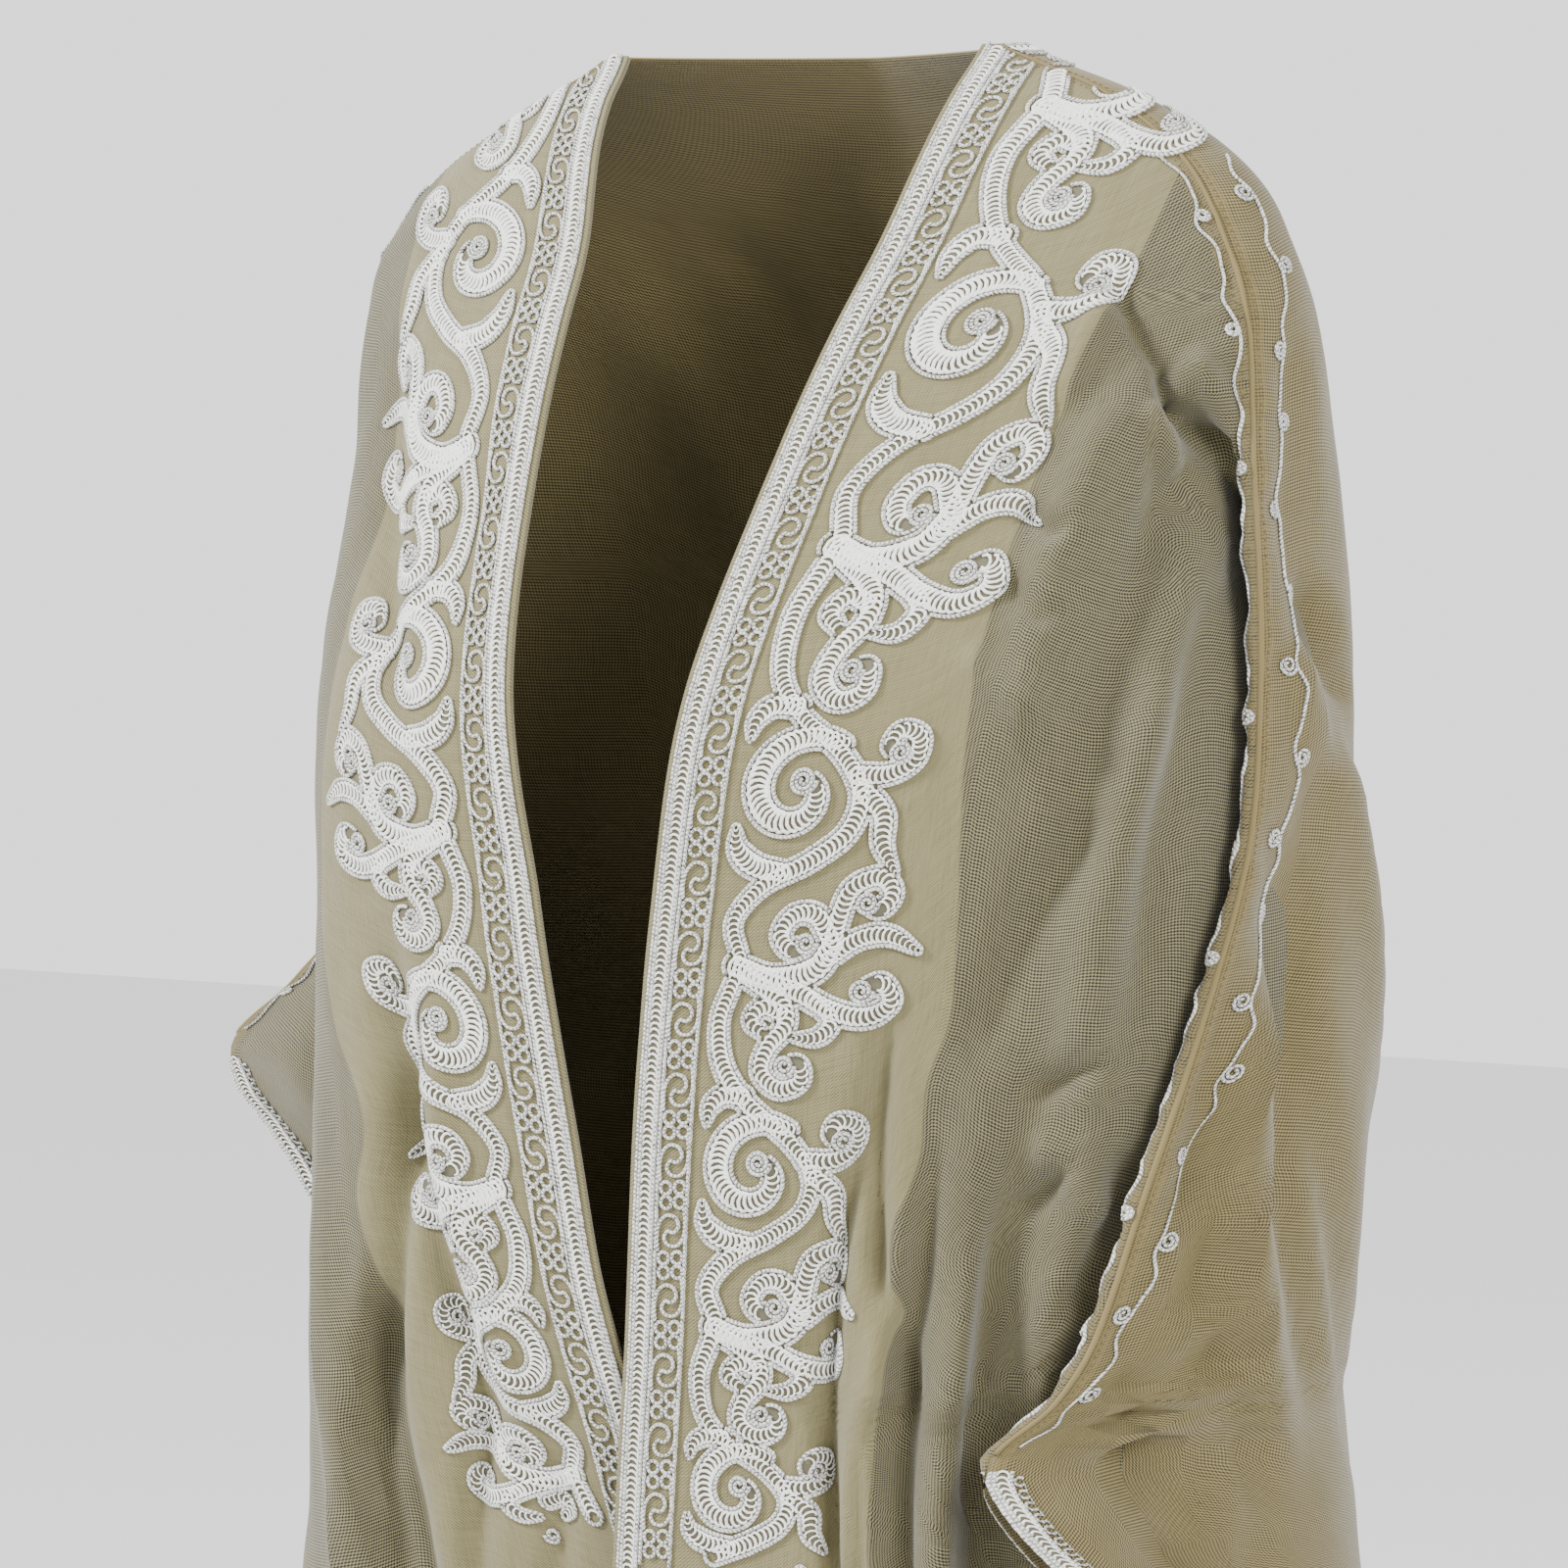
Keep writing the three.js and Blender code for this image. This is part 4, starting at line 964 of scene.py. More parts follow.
# %% Cords from drawn lines
def grown(mesh, tree, **inputs):
    """The mesh arrays that a tree makes from a drawn mesh: vertices, faces and the cord attributes."""
    carrier = in_scene("drawn", mesh)
    modifier = carrier.modifiers.new("grow", "NODES")
    modifier.node_group = tree
    for item in tree.interface.items_tree:
        if item.in_out == "INPUT" and item.name in inputs:
            modifier[item.identifier] = inputs[item.name]
    made = bpy.data.meshes.new_from_object(carrier.evaluated_get(bpy.context.evaluated_depsgraph_get()))
    bpy.data.objects.remove(carrier)
    vertices = np.empty(len(made.vertices) * 3)
    made.vertices.foreach_get("co", vertices)
    faces = [tuple(p.vertices) for p in made.polygons]
    facts = {}
    for label in ("along", "round"):
        facts[label] = np.zeros(len(made.vertices))
        if label in made.attributes:
            made.attributes[label].data.foreach_get("value", facts[label])
    bpy.data.meshes.remove(made)
    return vertices.reshape(-1, 3), faces, facts


def cords(lines, radius, sides=5):
    """Drawn lines swept into cords. Each line is a list of (x, y, height of its centre)."""
    points, edges = [], []
    for line in lines:
        edges += [(k, k + 1) for k in range(len(points), len(points) + len(line) - 1)]
        points += line
    return grown(new_mesh("lines", points, edges, []), CORD_TREE, Sides=sides, Radius=float(radius))


# %% Chain stitches on marked points
def crescent(steps=7, sides=4, thread=0.24, height=2.2):
    """One chain stitch: a bent bead of thread, 1 mm half wide and 1 mm high, open towards +y."""
    points, faces = [], []
    for k in range(steps):
        a = math.radians(mix(-32, 212, k / (steps - 1)))
        thick = thread * (0.6 + 0.4 * math.sin(math.pi * k / (steps - 1)))
        for s in range(sides):
            b = 2 * math.pi * (s + 0.5) / sides
            r = 1 - thread + thick * math.cos(b)
            points.append((r * math.cos(a), -r * math.sin(a), 0.4 + thick * height * math.sin(b)))
    for k in range(0, (steps - 1) * sides, sides):
        for s in range(sides):
            t = (s + 1) % sides
            faces.append((k + s, k + t, k + sides + t, k + sides + s))
    faces += [tuple(range(sides))[::-1], tuple(range((steps - 1) * sides, steps * sides))]
    return bpy.data.objects.new("chain stitch", new_mesh("chain stitch", points, [], faces))


STITCH = crescent()


def stitches(places):
    """Chain stitches at (x, y, height, turn in radians, half width, half length, thickness)."""
    places = np.array(places, float)
    mesh = new_mesh("stitch points", places[:, :3], [], [])
    store(mesh, "turn", places[:, 3:4] * (0, 0, 1), "FLOAT_VECTOR")
    store(mesh, "size", places[:, 4:7], "FLOAT_VECTOR")
    return grown(mesh, STITCH_TREE, Stitch=STITCH)


# %% [markdown]
# The vine in the scroll embroidery is a traditional repeat: a stem swings from side to side, a big spiral
# fills one hollow and a branch with smaller curls fills the next. The repeats get shorter towards the waist.

# %% The vine, drawn flat
VINE_LEFT, VINE_FROM, VINE_TO = 33.0, 12.0, 708.0
TURNS = 1.05
# Where a repeat starts, its length, the size of its curls and bands, and how far it reaches across.
Repeat = namedtuple("Repeat", "start length size reach")
REPEATS = {
    "left": [
        Repeat(-107, 200, 1.16, 1.12),
        Repeat(93, 226, 1.18, 1.12),
        Repeat(319, 168, 1.06, 1.06),
        Repeat(487, 150, 1.0, 0.98),
        Repeat(637, 112, 0.88, 0.92),
    ],
    "right": [
        Repeat(-143, 200, 1.14, 1.12),
        Repeat(57, 212, 1.14, 1.1),
        Repeat(269, 162, 1.04, 1.04),
        Repeat(431, 154, 1.0, 0.98),
        Repeat(585, 120, 0.88, 0.9),
    ],
}
# Places in a repeat: millimetres across and shares of its length.
STEM = [
    (9, 0), (21, 0.1), (42, 0.2), (53, 0.3), (50, 0.4), (36, 0.475), (18, 0.54), (7, 0.635), (12, 0.735),
    (9, 0.8), (5, 0.89),
]
# Each branch: its widths at the root, the middle and the tip, and its places.
BRANCHES = {
    "hook": ((9, 9, 3.5), [(20, 0.085), (10, 0.085), (4, 0.12), (3, 0.17)]),
    "outer curl": (
        (9, 8, 7), [(50, 0.255), (63, 0.25), (72, 0.215), (72, 0.155), (64, 0.14), (61, 0.18), (66, 0.195)]
    ),
    "drop": ((9, 9, 3.5), [(53, 0.29), (63, 0.35), (65, 0.43), (72, 0.5)]),
    "horn": ((9, 10, 4), [(26, 0.505), (13, 0.49), (5, 0.45), (3, 0.395)]),
    "trunk": ((10, 11, 10), [(10, 0.745), (27, 0.775), (44, 0.745), (51, 0.675)]),
    "tall curl": (
        (9, 8.5, 7.5), [(50, 0.69), (52, 0.6), (56, 0.535), (66, 0.51), (72, 0.55), (68, 0.59), (62, 0.575)]
    ),
    "fork curl": ((9, 8.5, 7.5), [(49, 0.665), (42, 0.61), (33, 0.61), (28, 0.66), (33, 0.7), (39, 0.68)]),
    "fork horn": ((8, 8.5, 4), [(49, 0.72), (61, 0.665), (73, 0.655), (85, 0.69)]),
    "low curl": (
        (9, 9, 8), [(16, 0.765), (36, 0.8), (52, 0.845), (66, 0.86), (76, 0.825), (72, 0.775), (64, 0.795)]
    ),
    "low hook": ((8, 8, 4), [(44, 0.82), (53, 0.87), (48, 0.915), (38, 0.92)]),
    "bud": (
        (9, 8.5, 7), [(16, 0.77), (31, 0.83), (34, 0.89), (27, 0.95), (25, 1.01), (33, 1.05), (42, 1.03),
                      (41, 0.985), (35, 0.99)]
    ),
    "bud curl": ((8, 8, 6), [(32, 0.86), (24, 0.845), (19, 0.88), (24, 0.91)]),
}
BULB_SIZES = {"outer curl": 5.8, "tall curl": 5.6, "fork curl": 5.4, "low curl": 5.8, "bud": 5.4}
SPIRAL_AT, SPIRAL_START = (27, 0.3), -52
SPIRAL_OUT, SPIRAL_IN, SPIRAL_BULB = 24.5, 5.0, 6.6
BAND = 0.64  # a branch's half width, as a share of the widths above


# %% Bands and bulbs of the vine
def flowing(points, step):
    """A smooth line through points, with its own points about a step apart."""
    p = np.array(points, float)
    p = np.vstack([2 * p[0] - p[1], p, 2 * p[-1] - p[-2]])
    made = []
    for k in range(1, len(p) - 2):
        a, b, c, d = p[k - 1 : k + 3]
        bend, twist = 2 * a - 5 * b + 4 * c - d, 3 * b - a - 3 * c + d
        count = max(2, int(np.linalg.norm(c - b) / 1.2))
        made += [0.5 * (2 * b + (c - a) * t + bend * t**2 + twist * t**3) for t in np.arange(count) / count]
    return spaced(np.array(made + [p[-2]]), step)


def spaced(line, step):
    """A line with points an even distance apart."""
    s = run_along(line, 0)
    count = max(2, int(round(s[-1] / step)) + 1)
    even = np.linspace(0, s[-1], count)
    return np.stack([np.interp(even, s, line[:, k]) for k in range(line.shape[1])], axis=-1)


def in_repeat(repeat, across, down):
    return (VINE_LEFT + across * repeat.reach, repeat.start + down * repeat.length)


def spiral(repeat, t):
    """The big spiral of a repeat, from its outer end to its middle."""
    x, y = in_repeat(repeat, *SPIRAL_AT)
    r = repeat.size * mix(SPIRAL_OUT, SPIRAL_IN, t**0.85)
    a = np.radians(SPIRAL_START - 360 * TURNS * t)
    return np.stack([x + r * np.cos(a), y + r * np.sin(a)], axis=-1)


def vine_bands(repeats, step=1.5):
    """Each band of the vine as its centre line and its half width at each point."""
    points = [in_repeat(r, *place) for r in repeats for place in STEM]
    line = flowing([p for p in points if VINE_FROM < p[1] < VINE_TO], step)
    t = np.linspace(0, 1, len(line))
    bands = [(line, 6.0 - 1.0 * t + 0.5 * np.sin(t * 40))]

    def add(line, half):
        if VINE_FROM - 3 < line[:, 1].min() and line[:, 1].max() < VINE_TO + 3:
            line = spaced(line, step)
            bands.append((line, half(np.linspace(0, 1, len(line)))))

    for repeat in repeats:
        swell = lambda t: repeat.size * (5.0 + 2.2 * np.sin(np.pi * np.minimum(1, t * 1.05)))
        add(spiral(repeat, np.linspace(0, 1, 60)), swell)
        for (root, middle, tip), places in BRANCHES.values():
            near_root = lambda t: mix(root, middle, 2 * t)
            near_tip = lambda t: mix(middle, tip, np.clip(2 * t - 1, 0, 1) ** 1.8)
            half = lambda t: repeat.size * BAND * np.where(t < 0.5, near_root(t), near_tip(t))
            add(flowing([in_repeat(repeat, *place) for place in places], step), half)
    return bands


def vine_bulbs(repeats):
    """The round ends of the spiral and the curls: centre and radius."""
    bulbs = []
    for repeat in repeats:
        bulbs.append((*spiral(repeat, 1.0), SPIRAL_BULB * repeat.size))
        for name, radius in BULB_SIZES.items():
            bulbs.append((*in_repeat(repeat, *BRANCHES[name][1][-1]), radius * repeat.size))
    return [bulb for bulb in bulbs if VINE_FROM < bulb[1] < VINE_TO - 4]


VINES = {side: vine_bands(repeats) for side, repeats in REPEATS.items()}
BULBS = {side: vine_bulbs(repeats) for side, repeats in REPEATS.items()}
for side, vine in VINES.items():
    metres = sum(run_along(line, 0)[-1] for line, _ in vine) / 1000
    print(side, "vine:", len(vine), "bands,", round(metres, 2), "m long")


# %% Outlines of the vine
CORD_R = 0.95
PAD = 0.35  # how high the padding stands
COIL_PITCH, COIL_EYE = 1.95, 0.7
APART = 14  # bands whose lines are further apart than this can't touch


def normals_2d(line):
    """Unit directions to the side of each point of a line, and ahead."""
    ahead = np.gradient(line, axis=0)
    ahead /= np.maximum(1e-9, np.linalg.norm(ahead, axis=1, keepdims=True))
    return np.stack([-ahead[:, 1], ahead[:, 0]], axis=-1), ahead


def outline(line, half, inset=0.0):
    """A closed line round a band, with round ends."""
    side, ahead = normals_2d(line)
    h = (half - inset)[:, None]
    ends = []
    for k, sign in ((-1, 1), (0, -1)):
        turns = np.linspace(0, np.pi, max(5, int(half[k] * 2)))[1:-1, None]
        round_ = sign * side[k] * np.cos(turns) + sign * ahead[k] * np.sin(turns)
        ends.append(line[k] + (half[k] - inset) * round_)
    return np.vstack([line + side * h, ends[0], (line - side * h)[::-1], ends[1], (line + side * h)[:1]])


def inside_depth(points, band):
    """How deep each point lies inside a band; negative outside it."""
    line, half = band
    d = np.linalg.norm(points[:, None, :] - line[None, :, :], axis=2) - half[None, :]
    return -d.min(axis=1)


def runs(keep):
    """First and last place of each stretch of True that is three long or more."""
    edges = np.flatnonzero(np.diff(np.concatenate([[0], np.asarray(keep, int), [0]])))
    return [(a, b - 1) for a, b in zip(edges[::2], edges[1::2]) if b - a >= 3]


def everywhere(x, y):
    """Room for every place: the rule for ground that work can fill."""
    return np.ones(np.shape(x), bool)


def kept(lines, keep):
    """The stretches of lines that their ground has room for."""
    made = []
    for line in lines:
        x, y = np.array([p[:2] for p in line]).T
        made += [line[a : b + 1] for a, b in runs(keep(x, y))]
    return made


def coil(x, y, r, step=1.2):
    """A flat coil of cord that fills a disc."""
    line, a, now = [], 0.0, r - CORD_R
    while now > COIL_EYE:
        line.append((x + now * math.cos(a), y + now * math.sin(a), CORD_R * 1.1))
        a += step / now
        now = r - CORD_R - COIL_PITCH * a / (2 * math.pi)
    return line


def vine_outlines(vine, bulbs):
    """The outline cords, left out where one band runs into another or into a bulb."""
    lines = []
    discs = [(np.array([[x, y], [x + 0.01, y]]), np.array([r, r])) for x, y, r in bulbs]
    for n, (line, half) in enumerate(vine):
        loop = spaced(outline(line, half, CORD_R), 1.6)
        hidden = np.zeros(len(loop), bool)
        for m, (other, wide) in enumerate(vine + discs):
            far = (other.min(0) > line.max(0) + APART).any() or (other.max(0) < line.min(0) - APART).any()
            if m != n and not far:
                hidden |= inside_depth(loop, (other, wide - 2 * CORD_R)) > -0.5
        lines += [[(x, y, CORD_R * 0.9) for x, y in loop[a : b + 1]] for a, b in runs(~hidden)]
    return lines + [coil(*bulb) for bulb in bulbs]


# %% Stitches and padding of the vine
def vine_stitches(vine, bulbs, keep, pitch=2.6):
    """Places for chain stitches across every band, wide where it is wide, with none on a bulb."""
    places = []
    centres, radii = np.array(bulbs)[:, :2], np.array(bulbs)[:, 2]
    for n, (line, half) in enumerate(vine):
        even = spaced(np.column_stack([line, half]), pitch)
        centre, wide = even[:, :2], even[:, 2] - 1.5 * CORD_R
        _, ahead = normals_2d(centre)
        for k, (x, y) in enumerate(centre):
            in_bulb = (np.hypot(*(centres - (x, y)).T) < radii).any()
            if wide[k] < 0.8 or in_bulb or not keep(x, y):
                continue
            turn = math.atan2(ahead[k, 1], ahead[k, 0]) - math.pi / 2
            wobble = 0.2 * math.sin(7.3 * k + n)
            places.append((x, y, PAD - 0.2, turn + wobble, wide[k] + 0.1, max(1.9, 0.7 * wide[k]), 1.6))
    return places


def strip_pad(line, half, height, sides=(-1, -0.55, 0, 0.55, 1)):
    """A low domed band of padding under the stitches."""
    side, _ = normals_2d(line)
    rows = []
    for s in sides:
        rise = height * (1 - s * s) ** 0.5 + 0.02
        rows.append(np.column_stack([line + side * (half * s)[:, None], np.full(len(line), rise)]))
    grid = np.stack(rows, axis=1)
    quads = quads_of(np.arange(grid.shape[0] * grid.shape[1]).reshape(grid.shape[:2]))
    return grid.reshape(-1, 3), quads[:, ::-1].tolist(), None


def outward(vertices, faces, closed):
    """Faces turned so that a closed body faces out and an open pad faces up."""
    a, b, c = (vertices[[face[k] for face in faces]] for k in range(3))
    normal = np.cross(b - a, c - a)
    facing = (a * normal).sum() if closed else normal[:, 2].sum()
    return [face[::-1] for face in faces] if facing < 0 else faces


def gathered(parts):
    """Several flat meshes as one."""
    vertices, faces, facts = [], [], {"along": [], "round": []}
    count = 0
    for v, f, values in parts:
        faces += [tuple(i + count for i in face) for face in outward(v, f, values is not None)]
        vertices.append(v)
        for label, made in facts.items():
            made.append(np.zeros(len(v)) if values is None else values[label])
        count += len(v)
    return np.concatenate(vertices), faces, {label: np.concatenate(made) for label, made in facts.items()}


def vine_flat(vine, bulbs, keep):
    """The cords and stitches of a vine, and the padding under them."""
    pads = []
    for line, half in vine:
        even = spaced(np.column_stack([line, half]), 3.0)
        for a, b in runs(keep(even[:, 0], even[:, 1])):
            pads.append(strip_pad(even[a : b + 1, :2], even[a : b + 1, 2] - 0.7, PAD))
    outlines = cords(kept(vine_outlines(vine, bulbs), keep), CORD_R)
    return gathered([outlines, stitches(vine_stitches(vine, bulbs, keep))]), gathered(pads)


# %% [markdown]
# The edge braid is three straight cords, with slanting chain stitches packed between the last two. Beside it
# runs a narrow border of single cord: a double curl, then four small rings, over and over, between two plain
# cords.

# %% Edge braid and curled border, drawn flat
BRAID_IN, BRAID_OUT = 2.5, 13.0
CORD_IN, SECOND_CORD_IN = 0.9, 2.5  # how far inside the braid's edges its cords run
BRAID_PITCH, CURL = 2.7, 30.3
BORDER_IN, BORDER_OUT, BORDER_TO, BORDER_HEIGHT = BRAID_OUT + 1.0, 28.6, 705.0, 0.8
RINGS, RING_R = ((4.2, 20.2), (10.9, 19.6), (4.6, 26.4), (11.2, 25.8)), 2.7
DOUBLE_CURL = [
    [(1.2, 17.5), (0.6, 11), (1.6, 5), (5.2, 1.6), (9.6, 2.4), (11.2, 6), (8.8, 9), (5.8, 8.2)],
    [(13.4, -2), (14.2, 4), (13.8, 10), (11, 14.2), (6.6, 14.6), (4, 11.4), (5.8, 8.2)],
]


def braid_pad(y0, y1, x0=BRAID_IN, x1=BRAID_OUT):
    line = spaced(np.array([[(x0 + x1) / 2, y0 + 0.6], [(x0 + x1) / 2, y1 - 0.6]]), 5.0)
    return gathered([strip_pad(line, np.full(len(line), (x1 - x0) / 2 - 0.5), 0.6)])


def straight(x, y0, y1, height, waver):
    return [(x + waver * math.sin(0.9 * y), y, height) for y in np.arange(y0, y1, 2.4)]


def braid_flat(y0, y1, keep=everywhere, x0=BRAID_IN, x1=BRAID_OUT):
    first, second, last = x0 + CORD_IN, x0 + SECOND_CORD_IN, x1 - CORD_IN
    lines = [straight(x, y0, y1, 1.0, 0.12) for x in (first, second, last)]
    half = (x1 - x0 - CORD_IN - SECOND_CORD_IN) / 2 + 0.1
    places = [
        ((second + last) / 2, y, 0.3, 0.5 + 0.15 * math.sin(3.1 * k), half, 2.6, 1.6)
        for k, y in enumerate(np.arange(y0 + 2, y1 - 2, BRAID_PITCH))
    ]
    places = [place for place in places if keep(*place[:2])]
    return gathered([cords(kept(lines, keep), 0.9, 6), stitches(places)])


def ring(x, y):
    turns = np.linspace(0, 2 * math.pi, 13)
    return [(x + RING_R * math.cos(a), y + RING_R * math.sin(a), BORDER_HEIGHT) for a in turns]


def border_flat(y0, y1, keep=everywhere):
    lines = [straight(x, y0, y1, BORDER_HEIGHT, w) for x, w in ((BORDER_OUT, 0.15), (BRAID_OUT + 1.1, 0.1))]
    y = y0 + 4
    while y + CURL < y1:
        for shape in DOUBLE_CURL:
            line = flowing([(BORDER_IN + a, y + b) for a, b in shape], 1.1)
            lines.append([(a, b, BORDER_HEIGHT) for a, b in line])
        lines += [ring(BORDER_IN + dx, y + dy) for dx, dy in RINGS]
        y += CURL
    return cords(kept(lines, keep), 0.85)


# %% Laying flat work on the cloth
def between(array, xs, ys, x, y):
    """Values of a grid at (x, y), where its columns lie at xs and its rows at ys."""
    i = np.clip(np.searchsorted(xs, x, side="right") - 1, 0, len(xs) - 2)
    j = np.clip(np.searchsorted(ys, y, side="right") - 1, 0, len(ys) - 2)
    a = ((x - xs[i]) / (xs[i + 1] - xs[i]))[:, None]
    b = ((y - ys[j]) / (ys[j + 1] - ys[j]))[:, None]
    top = array[j, i] * (1 - a) + array[j, i + 1] * a
    low = array[j + 1, i] * (1 - a) + array[j + 1, i + 1] * a
    return top * (1 - b) + low * b


def lay(flat, ground, name, material=CORD, lift=HALF):
    """Flat work laid on a piece of ground: a grid of points, their normals, and where they lie."""
    grid, normals, xs, ys = ground
    vertices, faces, facts = flat
    x, y, h = vertices.T
    placed = between(grid, xs, ys, x, y) + between(normals, xs, ys, x, y) * (h + lift)[:, None]
    j, i = grid.shape[0] // 2, grid.shape[1] // 2
    across, down = grid[j, i] - grid[j, i - 1], grid[j, i] - grid[j - 1, i]
    if np.dot(np.cross(across, down), normals[j, i]) < 0:
        faces = [face[::-1] for face in faces]
    made = mesh_object(name, placed, faces, material)
    for label, values in facts.items():
        store(made.data, label, values)
    return made


# %% Grounds for the embroidery
def laid_out(grid, normals, xs):
    """Ground with x across from a grid's first column and y down it."""
    points, turned = spread(grid, normals, xs)
    return points, turned, xs, run_along(points, 0)[:, 0]


BACK_COLUMNS = slice(1, 50)  # the part of the back that lies beyond a front's embroidery
ROOM_ON_FRONT, ROOM_ON_BACK = 2.0, 34  # clear of the top seam, and how far past it work may run
ON_BACK_FROM = 34


def strip_ground(side):
    """The embroidered strip of one front, which runs on over the back past the top seam, and a test of where
    it has room."""
    name = "front_" + side
    order = slice(None) if side == "left" else slice(None, None, -1)
    beyond = [(of[name], of["back"][:, order][:, BACK_COLUMNS]) for of in (GRID, NORMAL)]
    ground = laid_out(*(np.concatenate(pair, axis=1) for pair in beyond), np.arange(0, 172, 2.0))

    def keep(x, y):
        to_seam = np.interp(y, ground[3], RUN[name][:, -1]) - x
        return (to_seam > ROOM_ON_FRONT) | ((y > ON_BACK_FROM) & (to_seam > -ROOM_ON_BACK))

    return ground, keep


def panel_of(layer, side):
    return "front_" + side if layer == "front" else "back"


def edge_rows(layer, side, top, bottom):
    """A panel's rows between two heights, starting at the seam on one side of the wearer."""
    name = panel_of(layer, side)
    keep = (Z <= top + 0.01) & (Z >= bottom - 0.01)
    order = slice(None) if (layer, side) == ("back", "left") else slice(None, None, -1)
    return GRID[name][keep][:, order], NORMAL[name][keep][:, order]


# %% The embroidery on both fronts
SCROLL, EDGE_BRAID, LOOSE, PADS = {}, {}, [], []
for side in SIDES:
    ground, keep = strip_ground(side)
    foot = ground[3][-1]
    work, padding = vine_flat(VINES[side], BULBS[side], keep)
    SCROLL[side] = lay(work, ground, "scroll_embroidery_" + side)
    PADS.append(lay(padding, ground, "scroll_padding_" + side, SHADED_PADDING))
    EDGE_BRAID[side] = lay(braid_flat(0.5, foot - 1, keep), ground, "front_edge_braid_" + side)
    PADS.append(lay(braid_pad(3, foot - 1), ground, "braid_padding_" + side, SHADED_PADDING))
    LOOSE.append(lay(border_flat(1.5, BORDER_TO, keep), ground, "curled_border_" + side))
    counts = [len(piece.data.polygons) for piece in (SCROLL[side], EDGE_BRAID[side])]
    print(side, "front:", counts[0], "faces of scroll,", counts[1], "of braid")

# %% [markdown]
# The same braid goes round each hand opening and round the back of the neck, with small loops of cord beside
# it. A thin cord wanders down both sides of each top seam, with a tiny spiral every few centimetres, and the
# seam between them stands up as a narrow ridge with a row of stitches on each side.

# %% Cuffs and neck
CUFFS = {"left": LEFT_CUFF, "right": RIGHT_CUFF}
LAYERS = ("front", "back")
LOOP = 4.6


def loops_flat(y0, y1, x):
    """A row of small loops beside a braid."""
    line, y = [], y0
    while y + LOOP < y1:
        for a in np.linspace(-0.3 * math.pi, 1.3 * math.pi, 11):
            line.append((x + LOOP * (0.45 - 0.5 * math.sin(a)), y + LOOP * (0.5 - 0.42 * math.cos(a)), 0.7))
        y += LOOP * 1.35
    return cords([line], 0.7)


CUFF_PIECES = {}
for side, cuff in CUFFS.items():
    for layer in LAYERS:
        rows = edge_rows(layer, side, cuff["top"] + 2, cuff["bottom"] + CUFF_END - 3)
        ground = laid_out(*rows, np.linspace(0, 30, 12))
        long = ground[3][-1]
        braid = braid_flat(0.5, long - 0.5, x0=0.8, x1=CUFF_BRAID)
        flat = gathered([braid, loops_flat(3, long - 3, CUFF_BRAID + 0.8)])
        CUFF_PIECES[layer, side] = lay(flat, ground, f"cuff_braid_{layer}_{side}_cord")
        padding = braid_pad(1, long - 1, 0.8, CUFF_BRAID)
        PADS.append(lay(padding, ground, f"cuff_padding_{layer}_{side}", SHADED_PADDING))

NECK_ROWS, NECK_WIDTH = 44, 40  # the top of the back panel, turned so that its rows run down from the neck
turned = [np.swapaxes(of["back"][:NECK_ROWS], 0, 1) for of in (GRID, NORMAL)]
neck = laid_out(*turned, np.linspace(0, NECK_WIDTH, 20))
long = neck[3][-1]
NECK_BRAID = lay(braid_flat(2, long - 2), neck, "neck_edge_braid")
PADS.append(lay(braid_pad(3, long - 3), neck, "neck_padding", SHADED_PADDING))
LOOSE.append(lay(border_flat(3, long - 3), neck, "curled_border_neck"))
print("cuffs:", len(CUFF_PIECES), "pieces; neck braid", round(long), "mm long")


# %% Seam cords
CORD_FROM, SWING, WAVE, RIPPLE = 112.0, 2.2, 36, 2.9
CURL_TURN = 3.6 * math.pi
# For each layer: distances down the seam and the cord's distances from it there, how often the cord curls,
# where in its wave it starts, and the radius of its curls.
SEAM_CORDS = {
    "front": (([110, 700], [7, 6.5]), 54, 0.7, 3.2),
    "back": (
        ([110, 160, 250, 350, 450, 520, 590, 650, 700], [19, 21, 18, 23, 26, 24, 16, 10, 8]), 35, 2.1, 4.4
    ),
}


def wander_flat(y0, y1, middle, every, start, radius):
    """A cord that wanders down a seam, with a small spiral every so often."""

    def across(y):
        wave = SWING * math.sin(2 * math.pi * y / WAVE + start)
        return np.interp(y, *middle) + wave + 0.3 * SWING * math.sin(y / RIPPLE)

    lines = [[(across(y), y, 0.8) for y in np.arange(y0, y1, 1.4)]]
    y, k = y0 + 0.6 * every, 0
    while y + 8 < y1:
        out = 1 if k % 2 else -1
        curl = []
        for a in np.linspace(0, CURL_TURN, 34):
            r = mix(radius, 0.9, a / CURL_TURN)
            curl.append((across(y) + out * (radius - 0.2 - r * math.cos(a)), y + r * math.sin(a), 0.9))
        lines.append(curl)
        y += every * (1 + 0.12 * math.sin(2.3 * k))
        k += 1
    return cords(lines, 0.8)


SEAMS = {}
for side, cuff in CUFFS.items():
    for layer in LAYERS:
        ground = laid_out(*edge_rows(layer, side, TOP, cuff["top"] + 3), np.linspace(0, 34, 18))
        SEAMS[layer, side] = ground
        cord = wander_flat(CORD_FROM, ground[3][-1] - 6, *SEAM_CORDS[layer])
        LOOSE.append(lay(cord, ground, f"seam_cord_{layer}_{side}"))

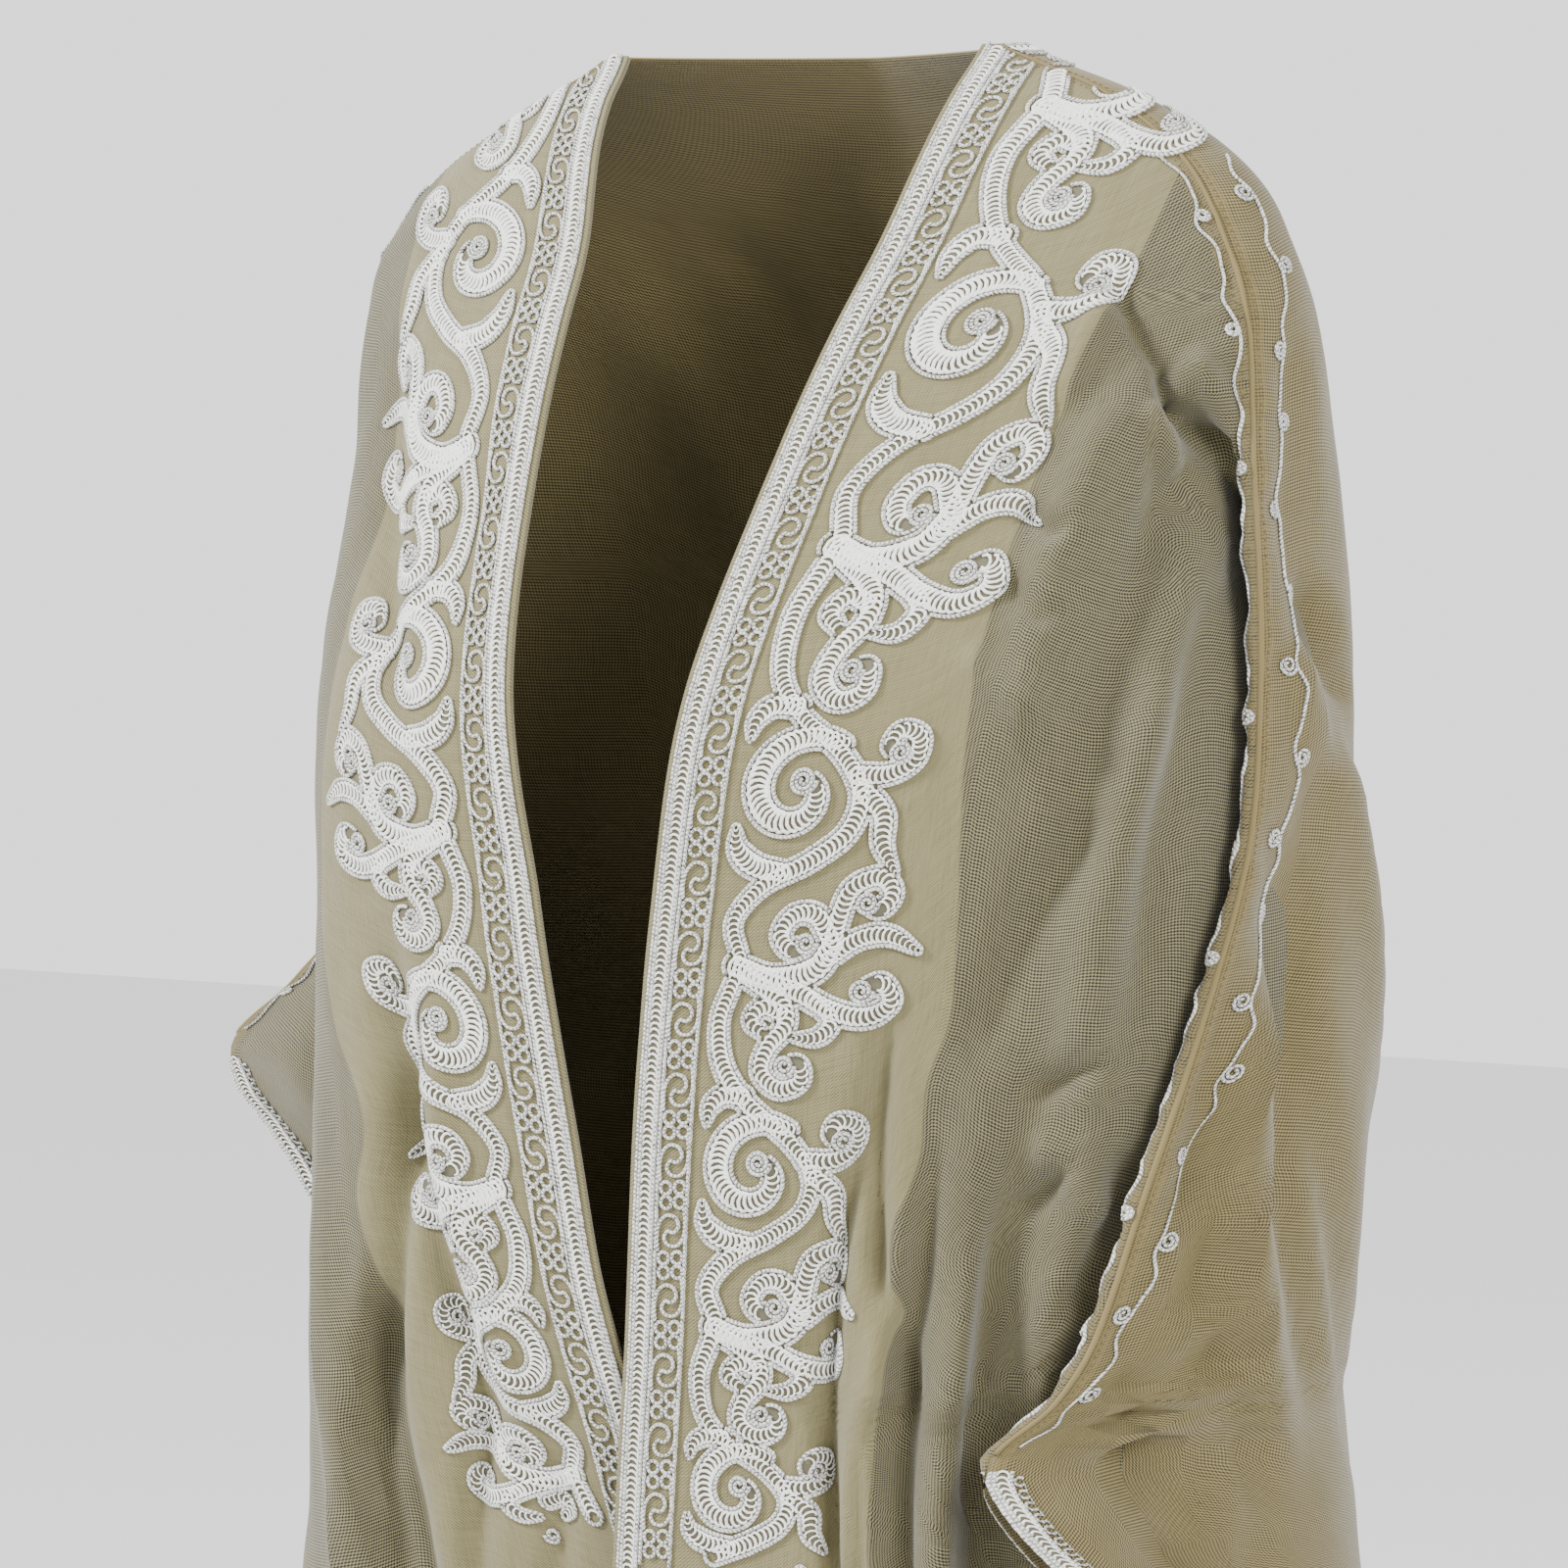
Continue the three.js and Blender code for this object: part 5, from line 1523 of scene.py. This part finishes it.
FROM_SEAM, SEAM_PITCH, SEAM_STITCH = 4.2, 3.4, (0.35, 1.1, 0.5)
SEWN = []  # the ridges of the seams and the stitches beside them
for side in SIDES:
    long = SEAMS["front", side][3][-1]
    ridge = cords([[(0.0, y, 0.4) for y in np.arange(4, long - 2, 3.0)]], 1.15, 8)
    SEWN.append(lay(ridge, SEAMS["front", side], "seam_ridge_" + side, STITCHED, 0.0))
    row = stitches([(FROM_SEAM, y, 0.0, 0.0, *SEAM_STITCH) for y in np.arange(6, long - 6, SEAM_PITCH)])
    for layer in LAYERS:
        SEWN.append(lay(row, SEAMS[layer, side], f"seam_stitches_{layer}_{side}", STITCHED))
print("on the cloth:", len(LOOSE), "cords,", len(SEWN), "ridges and rows of stitches,", len(PADS), "pads")

# %% [markdown]
# Nothing is finished until the frame knows it: each piece rides on the part's one body and stands for its
# solids, which it hides.

# %% Telling the frame
def belongs(piece, slot, *nodes):
    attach(piece, "root")
    if nodes:
        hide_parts(*nodes)


belongs(BACK, "cloth", "back")
for side in SIDES:
    belongs(FRONTS[side], "cloth", "front_" + side)
    belongs(FACINGS[side], "facing_cloth", "facing_" + side)
    belongs(SCROLL[side], "white_cord", "scrollwork_" + side)
    belongs(EDGE_BRAID[side], "white_cord", "edge_braid_" + side)
for (layer, side), piece in CUFF_PIECES.items():
    belongs(piece, "white_cord", f"cuff_braid_{layer}_{side}")
belongs(NECK_BRAID, "white_cord", "edge_braid_neck")
for piece in LOOSE:
    belongs(piece, "white_cord")
for piece in SEWN + PADS:
    belongs(piece, "cloth")

# %% [markdown]
# A large soft key light from the wearer's right, a weaker one from the other side and a pale dome
# give the light of a plain studio. The camera stands a little to the wearer's left of the front, slightly
# above the middle of the chest.

# %% Floor, light and camera
FLOOR, FLOOR_HALF = -1.46, 8
DISTANCE, AZIMUTH, ELEVATION = 2.6, math.radians(30), math.radians(4)
AIM = Vector((-0.0084, -0.0049, -0.331))
SENSOR, SEEN_ACROSS = 36, 0.704


def looking(name, data, place, aim):
    """A light or a camera at one place, turned to another."""
    made = in_scene(name, data)
    made.location = place
    made.rotation_euler = (Vector(aim) - Vector(place)).to_track_quat("-Z", "Y").to_euler()
    return made


def soft_light(name, place, aim, size, power):
    lamp = bpy.data.lights.new(name, "AREA")
    lamp.shape, lamp.size, lamp.energy = "SQUARE", size, power
    looking(name, lamp, place, aim)


floor_material, _, floor_shader = new_material("pale floor", 0.9)
floor_shader.inputs["Base Color"].default_value = (0.74, 0.74, 0.74, 1)
corners = [(x * FLOOR_HALF, y * FLOOR_HALF, FLOOR) for x, y in ((-1, -1), (1, -1), (1, 1), (-1, 1))]
floor_mesh = new_mesh("floor", corners, [], [(0, 1, 2, 3)])
floor_mesh.materials.append(floor_material)
floor = in_scene("floor", floor_mesh)

world = bpy.data.worlds.new("studio")
bpy.context.scene.world = world
world.use_nodes = True
world.node_tree.nodes["Background"].inputs["Color"].default_value = (1, 1, 1, 1)
world.node_tree.nodes["Background"].inputs["Strength"].default_value = 1.7
soft_light("key", (-2.2, -2.2, 1.9), (0, 0, -0.3), 0.9, 330)
soft_light("fill", (2.6, -1.6, 0.8), (0, 0, -0.4), 1.2, 135)

level = math.cos(ELEVATION)
toward_eye = Vector((math.sin(AZIMUTH) * level, -math.cos(AZIMUTH) * level, math.sin(ELEVATION)))
lens = bpy.data.cameras.new("camera")
lens.sensor_width = SENSOR
lens.lens = SENSOR * DISTANCE / SEEN_ACROSS
bpy.context.scene.camera = looking("camera", lens, AIM + DISTANCE * toward_eye, AIM)
